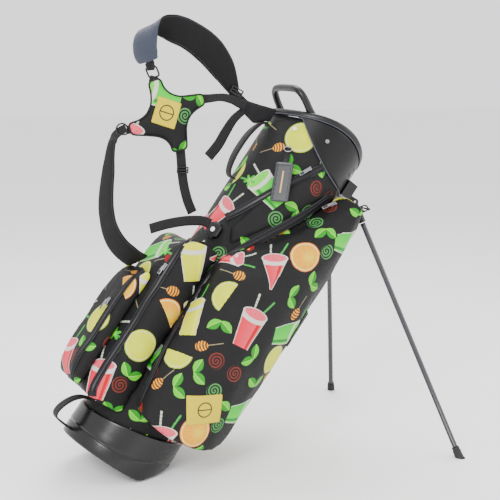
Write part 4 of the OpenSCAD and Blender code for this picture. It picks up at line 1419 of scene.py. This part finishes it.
# ---------------------------------------------------------------- hard trim
def block(name, outline, depth, place, bevel):
    """Small moulded part: outline extruded by depth mm and rounded, then put in place by place(points)."""
    n = len(outline)
    V = np.array([(x, y, z) for y in (0, depth) for x, z in outline], float)
    F = [tuple(range(n))[::-1], tuple(range(n, 2 * n))]
    F += [(i, (i + 1) % n, (i + 1) % n + n, i + n) for i in range(n)]
    ob = mesh(name, place(V), F, smooth=False)
    modifier(ob, "BEVEL", width=bevel / 1000, segments=3, limit_method="ANGLE", angle_limit=math.radians(40))
    apply_modifiers(ob)
    for p in ob.data.polygons:
        p.use_smooth = True
    q = coords(ob)
    set_uv(ob, np.stack([q[:, 0] + q[:, 1], q[:, 2]], 1))
    return ob


def tangent(phi_deg, z, r):
    """Places points on the tube at radius r: x round the tube, y outwards and z up the bag."""
    a = math.radians(phi_deg)
    axes = np.array([(-math.sin(a), math.cos(a), 0), (math.cos(a), math.sin(a), 0), (0, 0, 1)])
    return lambda v: bag((v + [0, r, z]) @ axes)


BUCKLE_AT, BUCKLE_Z = -157.0, 525


def buckle():
    """Side-release buckle with its two prongs and the snap on top."""
    o = round_outline([(-18, -12), (-10, -16), (8, -16), (18, -11), (18, 11), (8, 16), (-10, 16), (-18, 12)],
                      3, 4)
    ob = block("side_release_buckle_body", o, 7.6, tangent(BUCKLE_AT, BUCKLE_Z, CORE_R + 1.2), 1.4)
    dress(ob, "bag", "side_release_buckle", look="moulded")
    for k, z in enumerate((-17.0, 17.0)):
        arm = round_outline([(-9, z - 1.6), (9, z - 2.4), (9, z + 2.4), (-9, z + 1.6)], 1, 3)
        place = tangent(BUCKLE_AT, BUCKLE_Z, CORE_R + 2.4)
        dress(block(f"side_release_buckle_prong_{k + 1}", arm, 5.0, place, 0.8), "bag", look="moulded")


buckle()


def dome(name, place, r, h, hole=0.0):
    """Turned button or rivet: rolled edge, domed or with an eyelet hole."""
    prof = [(r * 0.96, 0.0), (r, h * 0.35), (r * 0.94, h * 0.75), (r * 0.8, h * 0.98), (r * 0.62, h * 0.86),
            (r * 0.5, h * 0.8)]
    if hole:
        prof += [(hole, h * 0.6), (hole, 0.0)]
    else:
        prof += [(r * 0.3, h * 1.02), (r * 0.05, h * 1.1), (r * 0.05, 0.0)]
    a = circle(28)
    return mesh(name, place(turned(prof, a)[:, [0, 2, 1]]), grid_faces(len(prof), len(a)))


def buttons():
    on_buckle = tangent(BUCKLE_AT, BUCKLE_Z, CORE_R + 9.0)
    dress(dome("snap_button_buckle", on_buckle, 5.6, 2.4), "bag", "snap_buttons", look="snap")
    dress(dome("snap_button_upper", tangent(-142, 800, CORE_R + 0.2), 5.0, 2.2), "bag", look="snap")
    for s, label, node in ((-1, "near", ["collar_rivets"]), (1, "far", [])):
        side, leg, eyelet = (tangent(s * a, z, COLLAR_R + 0.1) for a, z in ((104, 812), (42, 812), (45, 795)))
        dress(dome(f"collar_rivet_side_{label}", side, 4.6, 1.8), "bag", *node, look="steel")
        dress(dome(f"collar_rivet_leg_{label}", leg, 3.2, 1.6), "bag", look="steel")
        dress(dome(f"collar_eyelet_{label}", eyelet, 5.4, 1.8, hole=2.6), "bag", look="steel")


buttons()


def keeper():
    """Sewn strap keeper on the pocket's leg-side face, and the binding on the edge beside it."""
    def place(v):
        x, y = turn_flat(v[:, [1, 0]] + [0.5, 0], math.radians(-31))
        return bag(np.column_stack([150 + x, -111 + y, 448 + v[:, 2]]))
    ob = block("strap_keeper_block", rectangle(-12, -42, 12, 42, 2, 4), 8.6, place, 1.6)
    dress(ob, "bag", "strap_keeper", look="moulded")
    edge, normal = settle([(136, -131, z) for z in np.linspace(405, 491, 9)], SURFACE["near"], 1.0)
    bind = strap("strap_keeper_binding", edge, 0.021, 0.0022, smooth_rows(normal, 4), n=30)
    dress(bind, "bag", look="web")


keeper()


# ---------------------------------------------------------------- ladder adjusters
def adjuster(name, centre, w, h, angle, y, node=()):
    """Three bars across and a side at each end."""
    def place(v):
        x, z = turn_flat(v[:, [0, 2]], math.radians(-angle))
        return np.column_stack([centre[0] + x, y + v[:, 1], centre[1] + z]) / 1000
    parts = [(f"bar_{k + 1}", (-w / 2, z, w / 2, z + 2.6), 3.0)
             for k, z in enumerate((-h / 2, -1.3, h / 2 - 2.6))]
    parts += [(f"side_{k + 1}", (x, -h / 2, x + 2.4, h / 2), 3.4)
              for k, x in enumerate((-w / 2 - 2.4, w / 2))]
    for i, (label, box, depth) in enumerate(parts):
        part = block(f"{name}_{label}", rectangle(*box, 0.8, 3), depth, place, 0.5)
        dress(part, "bag", *(node if i == 0 else ()), look="moulded")


adjuster("ladder_adjuster_upper", (228, 792), 24, 15, 28, -18.5, ("ladder_adjusters",))
adjuster("ladder_adjuster_lower", (99, 632), 21, 14, 3, -27.0)


# ---------------------------------------------------------------- hanging tag (its own body)
TAG_AT, TAG_TILT = -136.0, 24.0
TAG_OUT = bag_dir((math.cos(math.radians(TAG_AT)), math.sin(math.radians(TAG_AT)), 0))


def tag_place(r):
    def place(v):
        x, z = turn_flat(v[:, [0, 2]], math.radians(TAG_TILT))
        return tangent(TAG_AT, 757, CORE_R + r)(np.column_stack([x, v[:, 1], z]))
    return place


def hang_tag():
    drop = 81
    card = panel("hang_tag_card", rectangle(-19, -43, 19, 43, 4),
                 lambda q, h: tag_place(9.6)(np.column_stack([q[:, 0], h, q[:, 1] - drop])),
                 lambda d, q: 2.7 - 0.5 * np.exp(-d / 0.8) + 0.5 * wave(lifted(q), 60.0, 3), 6.0)
    dress(card, "tag", "hang_tag", look="tag")
    line = np.array([(0, 0, -1.0), (0, 0.4, -12), (0, 1.0, -24), (0, 5.0, -34), (0, 9.8, -44)])
    tape = strap("hang_tag_strap", tag_place(1.6)(line), 0.013, 0.0016, TAG_OUT, n=24)
    dress(tape, "tag", "tag_strap", look="web")
    a = circle(24)
    loop = tag_place(3.2)(np.column_stack([8.2 * np.cos(a), 0 * a, -4 + 6.0 * np.sin(a)]))
    dress(tube("hang_tag_ring", loop, 0.0011, closed=True, up=TAG_OUT), "tag", look="steel")


hang_tag()


# ---------------------------------------------------------------- zip sliders and pulls
def slider_frames():
    """Origin, axes and pull length of each slider in the bag's frame."""
    slope = rot("Y", SLOPE_LEAN) @ rot("Z", -SLOPE_TURN)
    corner = rot("Z", 124.7)
    return {
        "side": (SLOPE_AT + slope @ np.array([10, -3.2, 220.0]), slope @ rot("Z", -90),
                 30),
        "slip": (np.array([-30, -110.6, 738.0]), rot("Z", -105) @ rot("X", -28), 24),
        "ball_upper": (np.array([-152, -78, 0.0]) + corner @ np.array([16, 3.2, 400.0]), corner @ rot("Z",
                                                                                                      90),
                                                                                                      20),
        "ball_lower": (np.array([-211, -31, 280.0]), rot("Z", 180), 26),
    }


def slider(key, origin, R, length):
    """Waisted shield with a bridge, and its pull: a tapered tab with a grip."""
    body, pull = f"slider_{key}", f"pull_{key}"

    def place(v):
        return bag(origin + v @ R.T)

    def plate(name, outline, depth, raised, bevel):
        def stand(v):
            return place(np.column_stack([v[:, 1] + raised, v[:, 0], v[:, 2]]))
        return block(name, outline, depth, stand, bevel)
    o = round_outline([(-4.4, 7.6), (4.4, 7.6), (3.3, 2.0), (3.1, -2.0), (4.3, -7.8), (-4.3, -7.8),
                       (-3.1, -2.0),
                       (-3.3, 2.0)], 1.2, 3)
    dress(plate(body + "_body", o, 3.2, 0.1, 0.6), body, body, look="steel")
    arch = np.array([(3.2, 0, -5.5), (5.0, 0, -4.0), (5.4, 0, 0), (5.0, 0, 4.0), (3.2, 0, 5.5)])
    dress(tube(body + "_bridge", place(arch), 0.0009, n=16, up=bag_dir(R[:, 1])), body, look="steel")
    w, low = 3.4, 1 - length
    o = round_outline([(-w * 0.62, 0.4), (w * 0.62, 0.4), (w, -length * 0.45), (w, low), (-w, low),
                       (-w, -length * 0.45)], 1.6, 4)
    dress(plate(pull + "_tab", o, 1.7, 6.2, 0.5), pull, pull, look="steel")
    o = rectangle(-w * 0.7, -length * 0.5, w * 0.7, 3 - length, 1.0, 3)
    dress(plate(pull + "_grip", o, 0.6, 7.7, 0.2), pull, look="rod", slot="zip_metal")


for key, values in slider_frames().items():
    slider(key, *values)


# ---------------------------------------------------------------- legs
# pivot in the bag's frame (mm), and the turns from along the bag to the stand (degrees)
PIVOT_X, PIVOT_Y, PIVOT_Z = 139, 57, 759.0
SWING, SPLAY = 54.8, 26.5


def leg_frame(side):
    """Row-frame place of leg points (mm): z up the leg from the pivot, x outwards, y across."""
    axis = Vector((side * math.sin(math.radians(SPLAY)), -math.cos(math.radians(SPLAY)), 0))
    R = rot(axis, SWING) @ rot("Z", side * SPLAY)
    return lambda v: bag(np.array([PIVOT_X, side * PIVOT_Y, PIVOT_Z]) + v @ R.T)


def legs():
    a = circle(28)
    # rubber foot with ribs, cut flat by the ground
    foot = [(5.75, -581.7), (8.0, -581.7), (8.4, -583.5), (8.2, -586.3), (7.2, -587.5), (8.8, -589.0),
            (9.4, -591.5), (8.6, -593.5), (9.4, -595.5), (8.7, -597.5), (9.5, -599.5), (9.3, -606.0),
            (9.2, -618.0), (0.2, -618.0), (0.2, -592.6), (5.75, -592.6)]
    # anodised tube with a collar at the top and a ferrule at the foot
    pole = [(5.75, -50.2), (5.9, -50.2), (5.9, -58.0), (5.72, -58.6), (5.72, -300.0), (5.72, -578.0),
            (6.1, -578.4), (6.1, -581.4), (4.9, -581.4), (4.9, -50.2)]
    for body, side in (("leg_near", -1), ("leg_far", 1)):
        place = leg_frame(side)
        ob = mesh(body + "_foot_rubber", above_ground(place(turned(foot, a))), grid_faces(len(foot), len(a)))
        dress(ob, body, body + "_foot", look="rubber")
        ob = mesh(body + "_tube_anodised", place(turned(pole, a)), grid_faces(len(pole), len(a)))
        dress(ob, body, body + "_tube", look="leg")


legs()

# ---------------------------------------------------------------- CAD nodes that stay as they are
KEEP = {
    "club_divider": "moulded", "club_floor": "moulded", "stand_bracket": "moulded", "foot_plate": "moulded",
    "foot_sole": "rubber", "leg_near_sleeve": "moulded", "leg_far_sleeve": "moulded", "actuator_rod": "rod",
    "bracket_screws": "pin", "leg_hinge_pins": "pin", "foot_hinge_pin": "pin", "foot_eye_pin": "pin",
}
for node, key in KEEP.items():
    o = NODES[node]
    o.data.materials.clear()
    o.data.materials.append(M[key])


# ---------------------------------------------------------------- floor, backdrop, light
def floor_and_light():
    t = Tree("floor")
    n = t.noise(t.place(), 3.0, 2.0)
    t.set(Base_Color=t.mix(n, (0.92, 0.92, 0.92, 1), (0.95, 0.95, 0.95, 1)), Roughness=0.8)
    me = bpy.data.meshes.new("floor")
    me.from_pydata([(-15, -15, 0), (15, -15, 0), (15, 15, 0), (-15, 15, 0)], [], [(0, 1, 2, 3)])
    fl = link("floor", me)
    me.materials.append(t.mat)
    world = bpy.data.worlds.new("studio")
    SCENE.world = world
    world.use_nodes = True
    world.node_tree.nodes["Background"].inputs[0].default_value = (1, 1, 1, 1)
    world.node_tree.nodes["Background"].inputs[1].default_value = 1.6

    def area(name, at, look, size, power):
        data = bpy.data.lights.new(name, "AREA")
        data.energy, data.size = power, size
        ob = bpy.data.objects.new(name, data)
        SCENE.collection.objects.link(ob)
        ob.location = at
        ob.rotation_mode = "QUATERNION"
        ob.rotation_quaternion = (Vector(look) - Vector(at)).to_track_quat("-Z", "Y")
    area("key", (-1.9, -2.0, 2.3), (0.2, 0, 0.4), 1.2, 95)
    area("fill", (2.3, -1.8, 1.5), (0.2, 0, 0.4), 1.6, 30)
    area("top", (0.6, 0.9, 2.6), (0.2, 0, 0.5), 1.2, 50)


floor_and_light()
